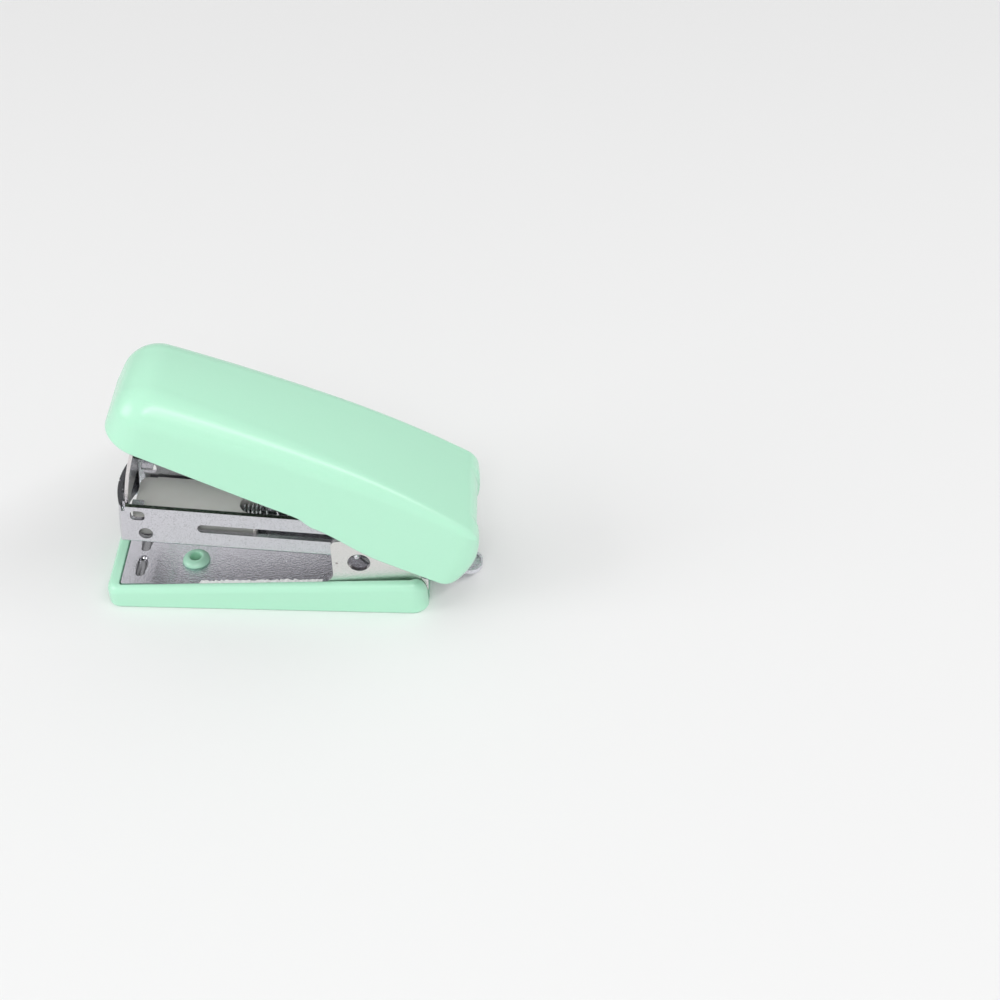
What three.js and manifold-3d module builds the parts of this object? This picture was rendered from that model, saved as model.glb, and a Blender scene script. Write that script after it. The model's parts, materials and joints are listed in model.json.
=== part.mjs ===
// Pocket stapler for No.10 staples, as an assembly of its separate pieces.
//
// Millimetres, +Z up. The origin lies on the table under the middle of the base tray, the
// mouth faces -X, the hinge is at +X, and the stapler is symmetric about the plane y = 0.
// The model stands at rest: the magazine is held up by its lift spring against its stop
// lugs, and the cap is held up by the return spring.

import * as THREE from 'three';
import { mergeVertices } from 'three/addons/utils/BufferGeometryUtils.js';
import Module from 'manifold-3d';

const wasm = await Module();
wasm.setup();

// ---------------------------------------------------------------- driving dimensions

const HINGE = { x: 23.0, z: 13.2 };      // axis of the hinge pin
const MAGAZINE_TILT = 6.0;               // rest angle of the magazine, degrees
const CAP_TILT = 27.0;                   // rest angle of the cap, degrees
const SHEET = 0.7;                       // gauge of the formed steel pieces
const SIDE_GAP = 0.2;                    // running gap between the hinged side walls
const REST_GAP = 0.3;                    // gap between pieces that rest on each other

const TRAY = {
  front: -24.6, rear: 24.2,
  halfFront: 7.75, halfRear: 9.2,        // outer half width at the two ends
  rimFront: 3.8, rimSlope: 0.0463,       // the rim climbs towards the hinge
  floor: 1.5, frontWall: 1.9, rearWall: 1.0,
  pocketFront: 6.68, pocketRear: 7.75,   // half width of the hollow at its two ends
  pocketCorner: 0.6, slotHalf: 7.5,      // the rear wall is open between the ears
  cornerFront: 1.9, cornerRear: 2.4,
  edge: 0.98, edgeHeight: 1.3, foot: 0.45,
};
const ANVIL_REST = { half: 5.4, setBack: 0.6 };

const PLATE = {
  front: -22.4, halfFront: 6.6, halfSlope: 0.02,
  anvilTop: 4.0, anvilEnd: -17.6, rampEnd: -14.8,
  floorTop: 2.5, rear: 24.2,
  flangeStart: -10.6, earStart: 10.0, taper: 0.025,
  tongueHalf: 2.3, tongueEnd: 32.3,
};
const EAR = { lobe: 3.15, front: 13.2, flangeDrop: 0.25, taperStart: 8.0 };
const ANVIL_GROOVE = { x: -19.8, inner: 1.15, outer: 4.3, radius: 0.74, lift: 0.12 };
const BOSS = {
  x: -12.0, column: 1.4, bore: 0.85, gap: 0.06,
  head: [[2.0, 0], [2.1, 0.1], [1.95, 0.46], [1.5, 0.82], [1.15, 0.92]],
};
const STOP_HOLE = { x: 14.0, z: 9.1, radius: 1.7 };
const STOP_LUG_RADIUS = 0.72;
const STOP_LUG_LEAD = 4.95;              // degrees from the hole's centre to the lug at rest

const PIN = { radius: 1.25, headRadius: 1.9, headThickness: 0.45 };
const PIN_HOLE = 1.45;

// Leaf springs, and the rivets that hold them at these places along x.
const LEAF = { gauge: 0.35, hole: 1.05 };
const SPRING_RIVET = { shank: 0.8, head: 1.5 };
const LIFT_RIVET_X = 20.0;
const RETURN_RIVET_X = -22.8;
const LIFT_LEAF_HALF = 3.2;
const RETURN_LEAF = { endHalf: 5.4, stemHalf: 3.4, stemStart: -26.0, stemEnd: -13.4 };

// Magazine sizes are in its own frame: origin on the hinge axis, X along the channel.
const MAGAZINE = {
  inner: 4.95, bottom: -6.0, top: 1.1,
  front: -43.6, bulge: 1.1, rear: 3.3,
  floorFront: -41.9, hingeLobe: 2.6,
};
const SLOT = { start: -32.5, end: -11.0, z: -2.15, height: 1.55 };
const WINDOW = { x: -41.15, z: -0.5, width: 2.1, height: 1.75, corner: 0.6 };
const ROUND_HOLE = { x: -40.05, z: -3.9, radius: 1.05 };
const SEAM = 0.12;                       // half the gap between the front wall's two flaps
const WINDOW_TAB = { width: 1.7, reach: 1.4, height: 0.4 };
const RELIEF = { start: -43.5, end: -42.9, bottom: 0.2, inner: 4.5 };
const PUSHER = {
  front: -42.25, rear: -24.0, half: 4.6, bottom: -5.0, top: -1.75,
  frontCorner: 1.3, rearCorner: 0.6, noseLength: 2.4, noseDrop: 0.2,
  notchStart: -26.95, notchHalf: 1.9, notchCorner: 1.85, bore: 1.0,
};
const ROD = { z: -3.45, radius: 0.65, front: -40.2, head: 1.3 };
const COIL = { radius: 1.25, wire: 0.2, turns: 24, closedTurns: 5, closedPitch: 0.6 };

// Handle sizes are in the cap's own frame: origin on the hinge axis, X along the cap.
const ARM = {
  webBottom: 3.4, webTop: 4.1, front: -43.9, shoulder: -33.0, rear: 2.9,
  tabBottom: -1.6, frontHalf: 4.5,
};
const BLADE = { radius: 42.9, thickness: 0.5, half: 4.15, tip: -20.6, head: 3.2 };
const RIVET = { y: 2.2, z: 0.8, shank: 0.6, hole: 0.8, head: 1.1 };
const CAP = {
  front: -47.7, rear: 7.9, wall: 1.3,
  crest: 8.65, crestX: -18.0, fallFront: 0.0016, fallRear: 0.0035, crown: 0.25,
  halfFoot: 9.45, halfFootX: -42.0, taper: 0.0175, draft: 0.085, draftZ: -3.0,
  edgeFront: 5.0, edgeFrontX: -43.0, edgeFade: 0.0785,
  cornerFront: 4.7, cornerRear: 3.2, footCorner: 2.4,
  bulge: 1.0, recess: 0.45, recessHalf: 5.7,
  ribs: [-34.5, -9.5], ribHalf: 5.2, ribTop: 7.6,
  notchStart: 4.0, notchHalf: 4.7, notchTop: 4.4,
};
// The cap's foot drops in three smooth steps: [where it starts, over what length, how far].
const FOOT_FRONT = -1.4;
const FOOT_STEPS = [[-45, 22, 0.25], [-18.7, 3.2, 0.75], [-15.5, 11, 1.3]];
const LEDGE = { start: -30.0, end: -24.5, half: 8.6, bottom: -1.25, top: -0.65 };

const MATERIAL = {
  mint: { color: 0xbdf0d5, roughness: 0.42, metalness: 0.0 },
  steel: { color: 0xc9c8cc, roughness: 0.34, metalness: 1.0 },
  polished: { color: 0xd4d4d8, roughness: 0.2, metalness: 1.0 },
  spring: { color: 0xb4b4ba, roughness: 0.24, metalness: 1.0 },
  milky: { color: 0xc3c6bd, roughness: 0.5, metalness: 0.0 },
};

// ---------------------------------------------------------------- solids and shapes

const ARC_STEPS = 3;                     // a corner arc gets twice as many segments
const ROUND_STEPS = 24;
const MERGE = 1e-4;

function solidOf(geometry) {
  const bare = geometry.clone();
  bare.deleteAttribute('normal');
  bare.deleteAttribute('uv');
  const merged = mergeVertices(bare, MERGE);
  return new wasm.Manifold(new wasm.Mesh({
    numProp: 3,
    vertProperties: Float32Array.from(merged.attributes.position.array),
    triVerts: Uint32Array.from(merged.index.array),
  }));
}

function geometryOf(solid) {
  const mesh = solid.getMesh();
  const geometry = new THREE.BufferGeometry();
  geometry.setAttribute('position', new THREE.BufferAttribute(mesh.vertProperties, 3));
  geometry.setIndex(new THREE.BufferAttribute(mesh.triVerts, 1));
  geometry.computeVertexNormals();
  return geometry;
}

const union = (solids) => solids.reduce((whole, next) => whole.add(next));
const cut = (solid, tools) => tools.reduce((rest, tool) => rest.subtract(tool), solid);

// An outline of [x, y, corner radius] points, with each corner turned into an arc.
function outline(points) {
  const shape = new THREE.Shape();
  const count = points.length;
  points.forEach(([x, y, radius = 0], i) => {
    const corner = new THREE.Vector2(x, y);
    const before = new THREE.Vector2(...points[(i + count - 1) % count].slice(0, 2));
    const after = new THREE.Vector2(...points[(i + 1) % count].slice(0, 2));
    const back = before.sub(corner).normalize();
    const ahead = after.sub(corner).normalize();
    const half = Math.acos(THREE.MathUtils.clamp(back.dot(ahead), -1, 1)) / 2;
    const reach = radius / Math.tan(half);
    const start = corner.clone().addScaledVector(back, reach);
    if (i === 0) shape.moveTo(start.x, start.y);
    else shape.lineTo(start.x, start.y);
    if (radius > 0) {
      const middle = back.clone().add(ahead).normalize();
      const centre = corner.clone().addScaledVector(middle, radius / Math.sin(half));
      const end = corner.clone().addScaledVector(ahead, reach);
      const from = Math.atan2(start.y - centre.y, start.x - centre.x);
      const to = Math.atan2(end.y - centre.y, end.x - centre.x);
      const clockwise = back.cross(ahead) > 0;
      shape.absarc(centre.x, centre.y, radius, from, to, clockwise);
    }
  });
  shape.closePath();
  return shape;
}

function extruded(shape, depth) {
  const settings = { depth, bevelEnabled: false, curveSegments: ARC_STEPS };
  return new THREE.ExtrudeGeometry(shape, settings);
}

// An outline in the XZ plane, extruded across the stapler from yLow to yHigh.
function sideGeometry(shape, yLow, yHigh) {
  return extruded(shape, yHigh - yLow).rotateX(Math.PI / 2).translate(0, yHigh, 0);
}
const sideSolid = (shape, yLow, yHigh) => solidOf(sideGeometry(shape, yLow, yHigh));

// An outline in the XY plane, extruded upwards from zLow to zHigh.
const planSolid = (shape, zLow, zHigh) =>
  solidOf(extruded(shape, zHigh - zLow).translate(0, 0, zLow));

function boxSolid(xLow, xHigh, yLow, yHigh, zLow, zHigh) {
  const box = new THREE.BoxGeometry(xHigh - xLow, yHigh - yLow, zHigh - zLow);
  box.translate((xLow + xHigh) / 2, (yLow + yHigh) / 2, (zLow + zHigh) / 2);
  return solidOf(box);
}

function cylinderAcross(radius, x, z, yLow, yHigh, segments = ROUND_STEPS) {
  const cylinder = new THREE.CylinderGeometry(radius, radius, yHigh - yLow, segments);
  return solidOf(cylinder.translate(x, (yLow + yHigh) / 2, z));
}

function cylinderAlong(radius, y, z, xLow, xHigh, segments = 16) {
  const cylinder = new THREE.CylinderGeometry(radius, radius, xHigh - xLow, segments);
  return solidOf(cylinder.rotateZ(Math.PI / 2).translate((xLow + xHigh) / 2, y, z));
}

function cylinderUp(radius, x, y, zLow, zHigh, segments = ROUND_STEPS) {
  const cylinder = new THREE.CylinderGeometry(radius, radius, zHigh - zLow, segments);
  return solidOf(cylinder.rotateX(Math.PI / 2).translate(x, y, (zLow + zHigh) / 2));
}

// A closed body through a row of rings of equal length, each a list of [x, y, z] points
// that runs anticlockwise when seen from the end of the row.
function loft(rings) {
  const size = rings[0].length;
  const points = rings.flat();
  const faces = [];
  for (let r = 0; r + 1 < rings.length; r += 1) {
    for (let i = 0; i < size; i += 1) {
      const a = r * size + i;
      const b = r * size + (i + 1) % size;
      faces.push(a, b, b + size, a, b + size, a + size);
    }
  }
  [0, rings.length - 1].forEach((r) => {
    const hub = points.length;
    const sum = rings[r].reduce((s, p) => s.map((v, k) => v + p[k]), [0, 0, 0]);
    points.push(sum.map((v) => v / size));
    for (let i = 0; i < size; i += 1) {
      const a = r * size + i;
      const b = r * size + (i + 1) % size;
      if (r === 0) faces.push(hub, b, a);
      else faces.push(hub, a, b);
    }
  });
  const geometry = new THREE.BufferGeometry();
  geometry.setAttribute('position', new THREE.Float32BufferAttribute(points.flat(), 3));
  geometry.setIndex(faces);
  return solidOf(geometry);
}

// How far a quarter round of this radius has fallen back at a distance from its end.
function inset(distance, radius) {
  const left = Math.max(0, radius - Math.max(0, distance));
  return radius - Math.sqrt(radius * radius - left * left);
}

const smooth = (t) => THREE.MathUtils.smoothstep(t, 0, 1);
const bothSides = (make) => [make(1), make(-1)];
const across = (side, inner, outer) => (side > 0 ? [inner, outer] : [-outer, -inner]);
const mirroredPlan = (half) => outline([
  ...half.map(([x, y, radius]) => [x, -y, radius]), ...half.slice().reverse(),
]);

const THROUGH = 12;                      // half length of a cut right through the stapler

// Half widths of the pieces that share the hinge pin, from the channel outwards.
const MAGAZINE_OUTER = MAGAZINE.inner + SHEET;
const ARM_INNER = MAGAZINE_OUTER + SIDE_GAP;
const ARM_OUTER = ARM_INNER + 0.6;
const EAR_INNER = ARM_OUTER + SIDE_GAP;
const EAR_OUTER = EAR_INNER + SHEET;

// ---------------------------------------------------------------- base tray

const trayHalf = (x) => TRAY.halfFront
  + (TRAY.halfRear - TRAY.halfFront) * (x - TRAY.front) / (TRAY.rear - TRAY.front);
const rimLine = (x) => TRAY.rimFront + TRAY.rimSlope * (x - TRAY.front);
const rimHeight = (x) => rimLine(x) - inset(TRAY.rear - x, TRAY.cornerRear);

// The tray's outline in plan, drawn in by a margin, as a ring of [x, y] points.
function trayRing(margin) {
  const steps = 5;
  const corners = [
    [TRAY.rear, -1, TRAY.cornerRear, -90], [TRAY.rear, 1, TRAY.cornerRear, 0],
    [TRAY.front, 1, TRAY.cornerFront, 90], [TRAY.front, -1, TRAY.cornerFront, 180],
  ];
  const ring = [];
  corners.forEach(([end, side, corner, startAngle]) => {
    const radius = corner - margin * 0.6;
    const inward = end > 0 ? -1 : 1;
    const x = end + inward * (margin + radius);
    const y = side * (trayHalf(end) - margin - radius);
    for (let i = 0; i <= steps; i += 1) {
      const angle = THREE.MathUtils.degToRad(startAngle + 90 * i / steps);
      ring.push([x + radius * Math.cos(angle), y + radius * Math.sin(angle)]);
    }
  });
  return ring;
}

function baseTray() {
  const { edge, edgeHeight, foot, floor, slotHalf, pocketCorner } = TRAY;
  const roundSteps = 3;
  const quarter = Array.from({ length: roundSteps + 1 }, (_, i) =>
    Math.PI / 2 * i / roundSteps);
  const block = loft([
    ...quarter.map((a) => trayRing(foot * (1 - Math.sin(a)))
      .map(([x, y]) => [x, y, foot * (1 - Math.cos(a))])),
    ...quarter.map((a) => trayRing(edge * (1 - Math.cos(a)))
      .map(([x, y]) => [x, y, rimHeight(x) - edgeHeight * (1 - Math.sin(a))])),
  ]);
  const pocketEnd = TRAY.rear - TRAY.rearWall;
  const pocket = planSolid(mirroredPlan([
    [TRAY.front + TRAY.frontWall, TRAY.pocketFront, pocketCorner],
    [pocketEnd, TRAY.pocketRear], [pocketEnd + 0.1, slotHalf], [TRAY.rear + 1, slotHalf],
  ]), floor, THROUGH);
  const root = 0.2;                      // how far added shapes reach into the floor
  const anvilRest = boxSolid(
    PLATE.front + ANVIL_REST.setBack, PLATE.anvilEnd, -ANVIL_REST.half, ANVIL_REST.half,
    floor - root, PLATE.anvilTop - SHEET - REST_GAP);
  const headBase = PLATE.floorTop + BOSS.gap;
  const column = cylinderUp(BOSS.column, BOSS.x, 0, floor - root, headBase + root);
  const crown = BOSS.head[BOSS.head.length - 1][1];
  const headPoints = [[0, 0], ...BOSS.head, [0, crown]]
    .map(([r, h]) => new THREE.Vector2(r, h));
  const headRing = solidOf(new THREE.LatheGeometry(headPoints, ROUND_STEPS)
    .rotateX(Math.PI / 2).translate(BOSS.x, 0, headBase));
  const bore = cylinderUp(BOSS.bore, BOSS.x, 0, floor / 2, headBase + 2 * crown);
  return cut(union([block.subtract(pocket), anvilRest, column, headRing]), [bore]);
}

// ---------------------------------------------------------------- base plate

// The ear on each side of the plate, with the low flange in front of it.
function earOutline() {
  const flangeTop = (x) => rimLine(x) - EAR.flangeDrop;
  const bottom = PLATE.floorTop - SHEET;
  const start = PLATE.earStart;
  const { lobe, front, taperStart } = EAR;
  return outline([
    [PLATE.flangeStart, bottom], [taperStart, bottom], [22.6, bottom],
    [PLATE.rear, 3.6, 0.4], [PLATE.rear, 5.5, 0.5],
    [22.9, 6.1, 0.5], [22.9, 8.4, 1.5], [HINGE.x + lobe, 10.6, 1.0],
    [HINGE.x + lobe, HINGE.z + lobe, 2.6], [HINGE.x - lobe - 1, HINGE.z + lobe, 2.2],
    [16.5, 14.0, 3.0], [start, front, 0.9],
    [start, flangeTop(start), 1.9], [taperStart, flangeTop(taperStart)],
    [PLATE.flangeStart + 0.8, flangeTop(PLATE.flangeStart), 0.3],
  ]);
}

function earSolid(side) {
  const [low, high] = across(side, EAR_INNER, EAR_OUTER);
  const geometry = sideGeometry(earOutline(), low, high);
  const position = geometry.attributes.position;
  for (let i = 0; i < position.count; i += 1) {
    const ahead = Math.max(0, EAR.taperStart - position.getX(i));
    position.setY(i, position.getY(i) - side * PLATE.taper * ahead);
  }
  const wall = solidOf(geometry);
  return cut(wall, [
    cylinderAcross(PIN_HOLE, HINGE.x, HINGE.z, low - 1, high + 1),
    cylinderAcross(STOP_HOLE.radius, STOP_HOLE.x, STOP_HOLE.z, low - 1, high + 1),
  ]);
}

// The round-bottomed trough that turns one leg of a staple.
function anvilGroove(side) {
  const { x, inner, outer, radius, lift } = ANVIL_GROOVE;
  const z = PLATE.anvilTop + lift;
  const steps = 16;
  const ends = [inner, outer].map((y) => {
    const ball = new THREE.SphereGeometry(radius, steps, steps / 2);
    return solidOf(ball.translate(x, side * y, z));
  });
  return union([cylinderAcross(radius, x, z, ...across(side, inner, outer), steps), ...ends]);
}

function basePlate() {
  const { anvilTop, floorTop } = PLATE;
  const sheet = sideSolid(outline([
    [PLATE.front, anvilTop - SHEET], [PLATE.anvilEnd, anvilTop - SHEET, 1.2],
    [PLATE.rampEnd, floorTop - SHEET, 1.8], [PLATE.tongueEnd + 1, floorTop - SHEET],
    [PLATE.tongueEnd + 1, floorTop], [PLATE.rampEnd + 0.1, floorTop, 1.2],
    [PLATE.anvilEnd + 0.1, anvilTop, 1.8], [PLATE.front, anvilTop],
  ]), -THROUGH, THROUGH);
  const middleOfWall = (EAR_INNER + EAR_OUTER) / 2;
  const flangeHalf = middleOfWall - PLATE.taper * (EAR.taperStart - PLATE.flangeStart);
  const rampHalf = PLATE.halfFront + PLATE.halfSlope * (PLATE.flangeStart - PLATE.front);
  const plan = planSolid(mirroredPlan([
    [PLATE.front, PLATE.halfFront], [PLATE.flangeStart, Math.min(rampHalf, flangeHalf)],
    [EAR.taperStart, middleOfWall], [PLATE.rear, middleOfWall],
    [PLATE.rear, PLATE.tongueHalf, 0.8], [PLATE.tongueEnd, PLATE.tongueHalf, 1.9],
  ]), 0, THROUGH);
  const grooves = bothSides(anvilGroove);
  const holes = [
    cylinderUp(BOSS.column + 0.25, BOSS.x, 0, 0, THROUGH),
    cylinderUp(LEAF.hole, LIFT_RIVET_X, 0, 0, THROUGH),
  ];
  return union([cut(sheet.intersect(plan), [...grooves, ...holes]), ...bothSides(earSolid)]);
}

// ---------------------------------------------------------------- hinge pin and lift spring

function hingePin() {
  const shank = EAR_OUTER + 0.15;
  const heads = bothSides((side) => {
    const [low, high] = across(side, shank - 0.02, shank + PIN.headThickness);
    return cylinderAcross(PIN.headRadius, HINGE.x, HINGE.z, low, high);
  });
  return union([cylinderAcross(PIN.radius, HINGE.x, HINGE.z, -shank, shank), ...heads]);
}

// A strip of spring steel along a centre line of [x, z] points, as thick as its gauge.
function leafOutline(centre, gauge) {
  const curve = new THREE.SplineCurve(centre.map(([x, z]) => new THREE.Vector2(x, z)));
  const steps = 16;
  const upper = [];
  const lower = [];
  for (let i = 0; i <= steps; i += 1) {
    const point = curve.getPoint(i / steps);
    const along = curve.getTangent(i / steps);
    const normal = new THREE.Vector2(-along.y, along.x).multiplyScalar(gauge / 2);
    upper.push(point.clone().add(normal));
    lower.push(point.clone().sub(normal));
  }
  return new THREE.Shape([...lower, ...upper.reverse()]);
}

const LIFT_SPRING = [
  [21.9, 3.0], [19.6, 3.0], [17.6, 3.1], [15.2, 4.6], [12.6, 7.2], [11.0, 7.85], [9.9, 7.6],
];
const RETURN_SPRING = [
  [-24.4, 3.0], [-21.6, 3.0], [-18.6, 2.5], [-15.2, -0.2], [-12.4, -2.0], [-11.2, -1.9],
];

function liftSpring() {
  const leaf = sideSolid(leafOutline(LIFT_SPRING, LEAF.gauge), -LIFT_LEAF_HALF, LIFT_LEAF_HALF);
  return leaf.subtract(cylinderUp(LEAF.hole, LIFT_RIVET_X, 0, 0, THROUGH));
}

// A rivet through a leaf spring: a shank up to zHead, and a head up to zTop.
function springRivet(x, zLow, zHead, zTop) {
  const { shank, head } = SPRING_RIVET;
  return union([
    cylinderUp(shank, x, 0, zLow, zHead + 0.01, 16),
    cylinderUp(head, x, 0, zHead, zTop, 16),
  ]);
}

// ---------------------------------------------------------------- magazine

// The bowed front wall in plan, its two flaps meeting at a seam in the middle.
function frontWallPlan() {
  const half = MAGAZINE_OUTER;
  const radius = (half * half + MAGAZINE.bulge ** 2) / (2 * MAGAZINE.bulge);
  const centreX = MAGAZINE.front - MAGAZINE.bulge + radius;
  const sweep = Math.asin(half / radius);
  const shape = new THREE.Shape();
  const steps = 12;
  const arc = (r, from, to) => {
    for (let i = 0; i <= steps; i += 1) {
      const angle = Math.PI + from + (to - from) * i / steps;
      const x = centreX + r * Math.cos(angle);
      const y = r * Math.sin(angle);
      if (shape.curves.length === 0 && i === 0 && from < 0) shape.moveTo(x, y);
      else shape.lineTo(x, y);
    }
  };
  arc(radius, -sweep, sweep);
  arc(radius - SHEET, sweep, -sweep);
  shape.closePath();
  return shape;
}

function magazineChannel() {
  const { inner, bottom, top, front, rear, floorFront, hingeLobe } = MAGAZINE;
  const outer = MAGAZINE_OUTER;
  const walls = bothSides((side) => sideSolid(outline([
    [front + 0.25, bottom, 1.0], [rear, bottom, 1.6], [rear, hingeLobe, 2.3],
    [-hingeLobe - 2.4, hingeLobe, 2.2], [-8.4, top, 2.5], [front + 0.25, top],
  ]), ...across(side, inner, outer)));
  const floor = boxSolid(floorFront, rear - 1.6, -inner - 0.3, inner + 0.3,
    bottom, bottom + SHEET);
  const frontWall = planSolid(frontWallPlan(), bottom + 0.15, top)
    .subtract(boxSolid(front - 3, front + 1, -SEAM, SEAM, bottom - 1, top + 1));
  const rearWall = boxSolid(rear - SHEET, rear, -inner - 0.3, inner + 0.3,
    bottom + 1.3, -1.7);
  const lugAngle = THREE.MathUtils.degToRad(
    MAGAZINE_TILT + THREE.MathUtils.radToDeg(
      Math.atan2(HINGE.z - STOP_HOLE.z, HINGE.x - STOP_HOLE.x)) - STOP_LUG_LEAD);
  const lugReach = Math.hypot(HINGE.x - STOP_HOLE.x, HINGE.z - STOP_HOLE.z);
  const lugs = bothSides((side) => cylinderAcross(
    STOP_LUG_RADIUS, -lugReach * Math.cos(lugAngle), -lugReach * Math.sin(lugAngle),
    ...across(side, outer - 0.2, EAR_OUTER), 16));
  const windowTop = WINDOW.z + WINDOW.height / 2;
  const tabs = bothSides((side) => boxSolid(
    WINDOW.x - WINDOW_TAB.width / 2, WINDOW.x + WINDOW_TAB.width / 2,
    ...across(side, inner - WINDOW_TAB.reach, inner + 0.2),
    windowTop, windowTop + WINDOW_TAB.height));
  const openingAcross = (xLow, xHigh, zLow, zHigh, radius) => sideSolid(outline([
    [xLow, zLow, radius], [xHigh, zLow, radius], [xHigh, zHigh, radius], [xLow, zHigh, radius],
  ]), -THROUGH, THROUGH);
  const openings = [
    openingAcross(SLOT.start, SLOT.end, SLOT.z - SLOT.height / 2, SLOT.z + SLOT.height / 2,
      SLOT.height / 2 - 0.02),
    openingAcross(WINDOW.x - WINDOW.width / 2, WINDOW.x + WINDOW.width / 2,
      WINDOW.z - WINDOW.height / 2, windowTop, WINDOW.corner),
    cylinderAcross(ROUND_HOLE.radius, ROUND_HOLE.x, ROUND_HOLE.z, -THROUGH, THROUGH),
    cylinderAcross(PIN_HOLE, 0, 0, -THROUGH, THROUGH),
    cylinderAlong(ROD.radius + SIDE_GAP, 0, ROD.z, rear - 2, rear + 1),
    ...bothSides((side) => boxSolid(
      RELIEF.start, RELIEF.end, ...across(side, RELIEF.inner, THROUGH), RELIEF.bottom, top + 1)),
  ];
  return cut(union([...walls, floor, frontWall, rearWall, ...lugs, ...tabs]),
    openings);
}

function pusher() {
  const { front, rear, half, bottom, top, notchStart, notchHalf } = PUSHER;
  const body = planSolid(mirroredPlan([
    [front, half, PUSHER.frontCorner], [rear, half, PUSHER.rearCorner],
    [rear, notchHalf, PUSHER.rearCorner], [notchStart, notchHalf, PUSHER.notchCorner],
  ]), bottom, top);
  const nose = boxSolid(front - 1, front + PUSHER.noseLength, -THROUGH, THROUGH,
    top - PUSHER.noseDrop, top + 1);
  return cut(body, [nose, cylinderAlong(PUSHER.bore, 0, ROD.z, front - 1, rear + 1)]);
}

function pusherRod() {
  const rear = MAGAZINE.rear;
  return union([
    cylinderAlong(ROD.radius, 0, ROD.z, ROD.front, rear + 0.3),
    cylinderAlong(ROD.head, 0, ROD.z, rear + 0.25, rear + 0.85),
  ]);
}

// The wire's middle line, wound closer over the first and the last turns.
class CoilPath extends THREE.Curve {
  constructor(start, end) {
    super();
    this.start = start;
    this.end = end;
  }

  getPoint(t) {
    const { turns, closedTurns, closedPitch, radius } = COIL;
    const turn = turns * t;
    const openTurns = turns - 2 * closedTurns;
    const openPitch = (this.end - this.start - 2 * closedTurns * closedPitch) / openTurns;
    const open = THREE.MathUtils.clamp(turn - closedTurns, 0, openTurns);
    const x = this.start + closedPitch * (turn - open) + openPitch * open;
    const angle = 2 * Math.PI * turn;
    return new THREE.Vector3(
      x, radius * Math.cos(angle), ROD.z + radius * Math.sin(angle));
  }
}

function pusherSpring() {
  const sides = 4;
  const stepsPerTurn = 9;
  const corners = Array.from({ length: sides }, (_, i) => 2 * Math.PI * i / sides);
  const section = new THREE.Shape(corners.map((a) =>
    new THREE.Vector2(COIL.wire * Math.cos(a), COIL.wire * Math.sin(a))));
  const path = new CoilPath(
    PUSHER.notchStart + REST_GAP + COIL.wire, MAGAZINE.rear - SHEET - REST_GAP - COIL.wire);
  return solidOf(new THREE.ExtrudeGeometry(section, {
    steps: COIL.turns * stepsPerTurn, bevelEnabled: false, extrudePath: path,
  }));
}

// ---------------------------------------------------------------- driver arm and blade

function driverArm() {
  const { webBottom, webTop, front, shoulder, rear, tabBottom, frontHalf } = ARM;
  const web = planSolid(outline([
    [front, -frontHalf, 0.6], [shoulder - 4, -frontHalf, 2.0], [shoulder, -ARM_OUTER, 1.5],
    [rear - 1.2, -ARM_OUTER], [rear - 1.2, ARM_OUTER], [shoulder, ARM_OUTER, 1.5],
    [shoulder - 4, frontHalf, 2.0], [front, frontHalf, 0.6],
  ]), webBottom, webTop);
  const flanges = bothSides((side) => sideSolid(outline([
    [shoulder + 0.9, webTop - 0.3], [shoulder + 0.9, 2.0, 0.5], [-28, -0.2, 2.0],
    [-4.6, -2.3, 3.0], [rear, -2.6, 2.4], [rear, webTop - 0.3, 1.2],
  ]), ...across(side, ARM_INNER, ARM_OUTER)));
  const tab = boxSolid(front, front + 0.6, -frontHalf, frontHalf, tabBottom, webTop - 0.3);
  const rivetHoles = bothSides((side) =>
    cylinderAlong(RIVET.hole, side * RIVET.y, RIVET.z, front - 1, front + 1));
  return cut(union([web, ...flanges, tab]), [
    ...rivetHoles, cylinderAcross(PIN_HOLE, 0, 0, -THROUGH, THROUGH),
    cylinderUp(LEAF.hole, RETURN_RIVET_X, 0, 2, THROUGH),
  ]);
}

// The blade bends about the hinge axis, so it slides down the channel's front as it turns.
function driverBlade() {
  const { radius, thickness, half, tip, head } = BLADE;
  const steps = 12;
  const inner = [];
  const outer = [];
  for (let i = 0; i <= steps; i += 1) {
    const angle = THREE.MathUtils.degToRad(THREE.MathUtils.lerp(tip, head, i / steps));
    const direction = new THREE.Vector2(-Math.cos(angle), Math.sin(angle));
    inner.push(direction.clone().multiplyScalar(radius - thickness / 2));
    outer.push(direction.clone().multiplyScalar(radius + thickness / 2));
  }
  const blade = sideSolid(new THREE.Shape([...inner, ...outer.reverse()]), -half, half);
  return cut(blade, bothSides((side) =>
    cylinderAlong(RIVET.hole, side * RIVET.y, RIVET.z, -radius - 2, -radius + 2)));
}

function bladeRivet(side) {
  const y = side * RIVET.y;
  const blade = -BLADE.radius + BLADE.thickness / 2;
  return union([
    cylinderAlong(RIVET.shank, y, RIVET.z, ARM.front - 0.2, blade + 0.25),
    cylinderAlong(RIVET.head, y, RIVET.z, ARM.front - 0.6, ARM.front - 0.15),
    cylinderAlong(RIVET.head, y, RIVET.z, blade + 0.2, blade + 0.6),
  ]);
}

function returnSpring() {
  const { endHalf, stemHalf, stemStart, stemEnd } = RETURN_LEAF;
  const leaf = sideSolid(leafOutline(RETURN_SPRING, LEAF.gauge), -endHalf, endHalf);
  const waist = bothSides((side) => boxSolid(
    stemStart, stemEnd, ...across(side, stemHalf, THROUGH), -6, 3.35));
  return cut(leaf, [...waist, cylinderUp(LEAF.hole, RETURN_RIVET_X, 0, 2, THROUGH)]);
}

// ---------------------------------------------------------------- cap

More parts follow.
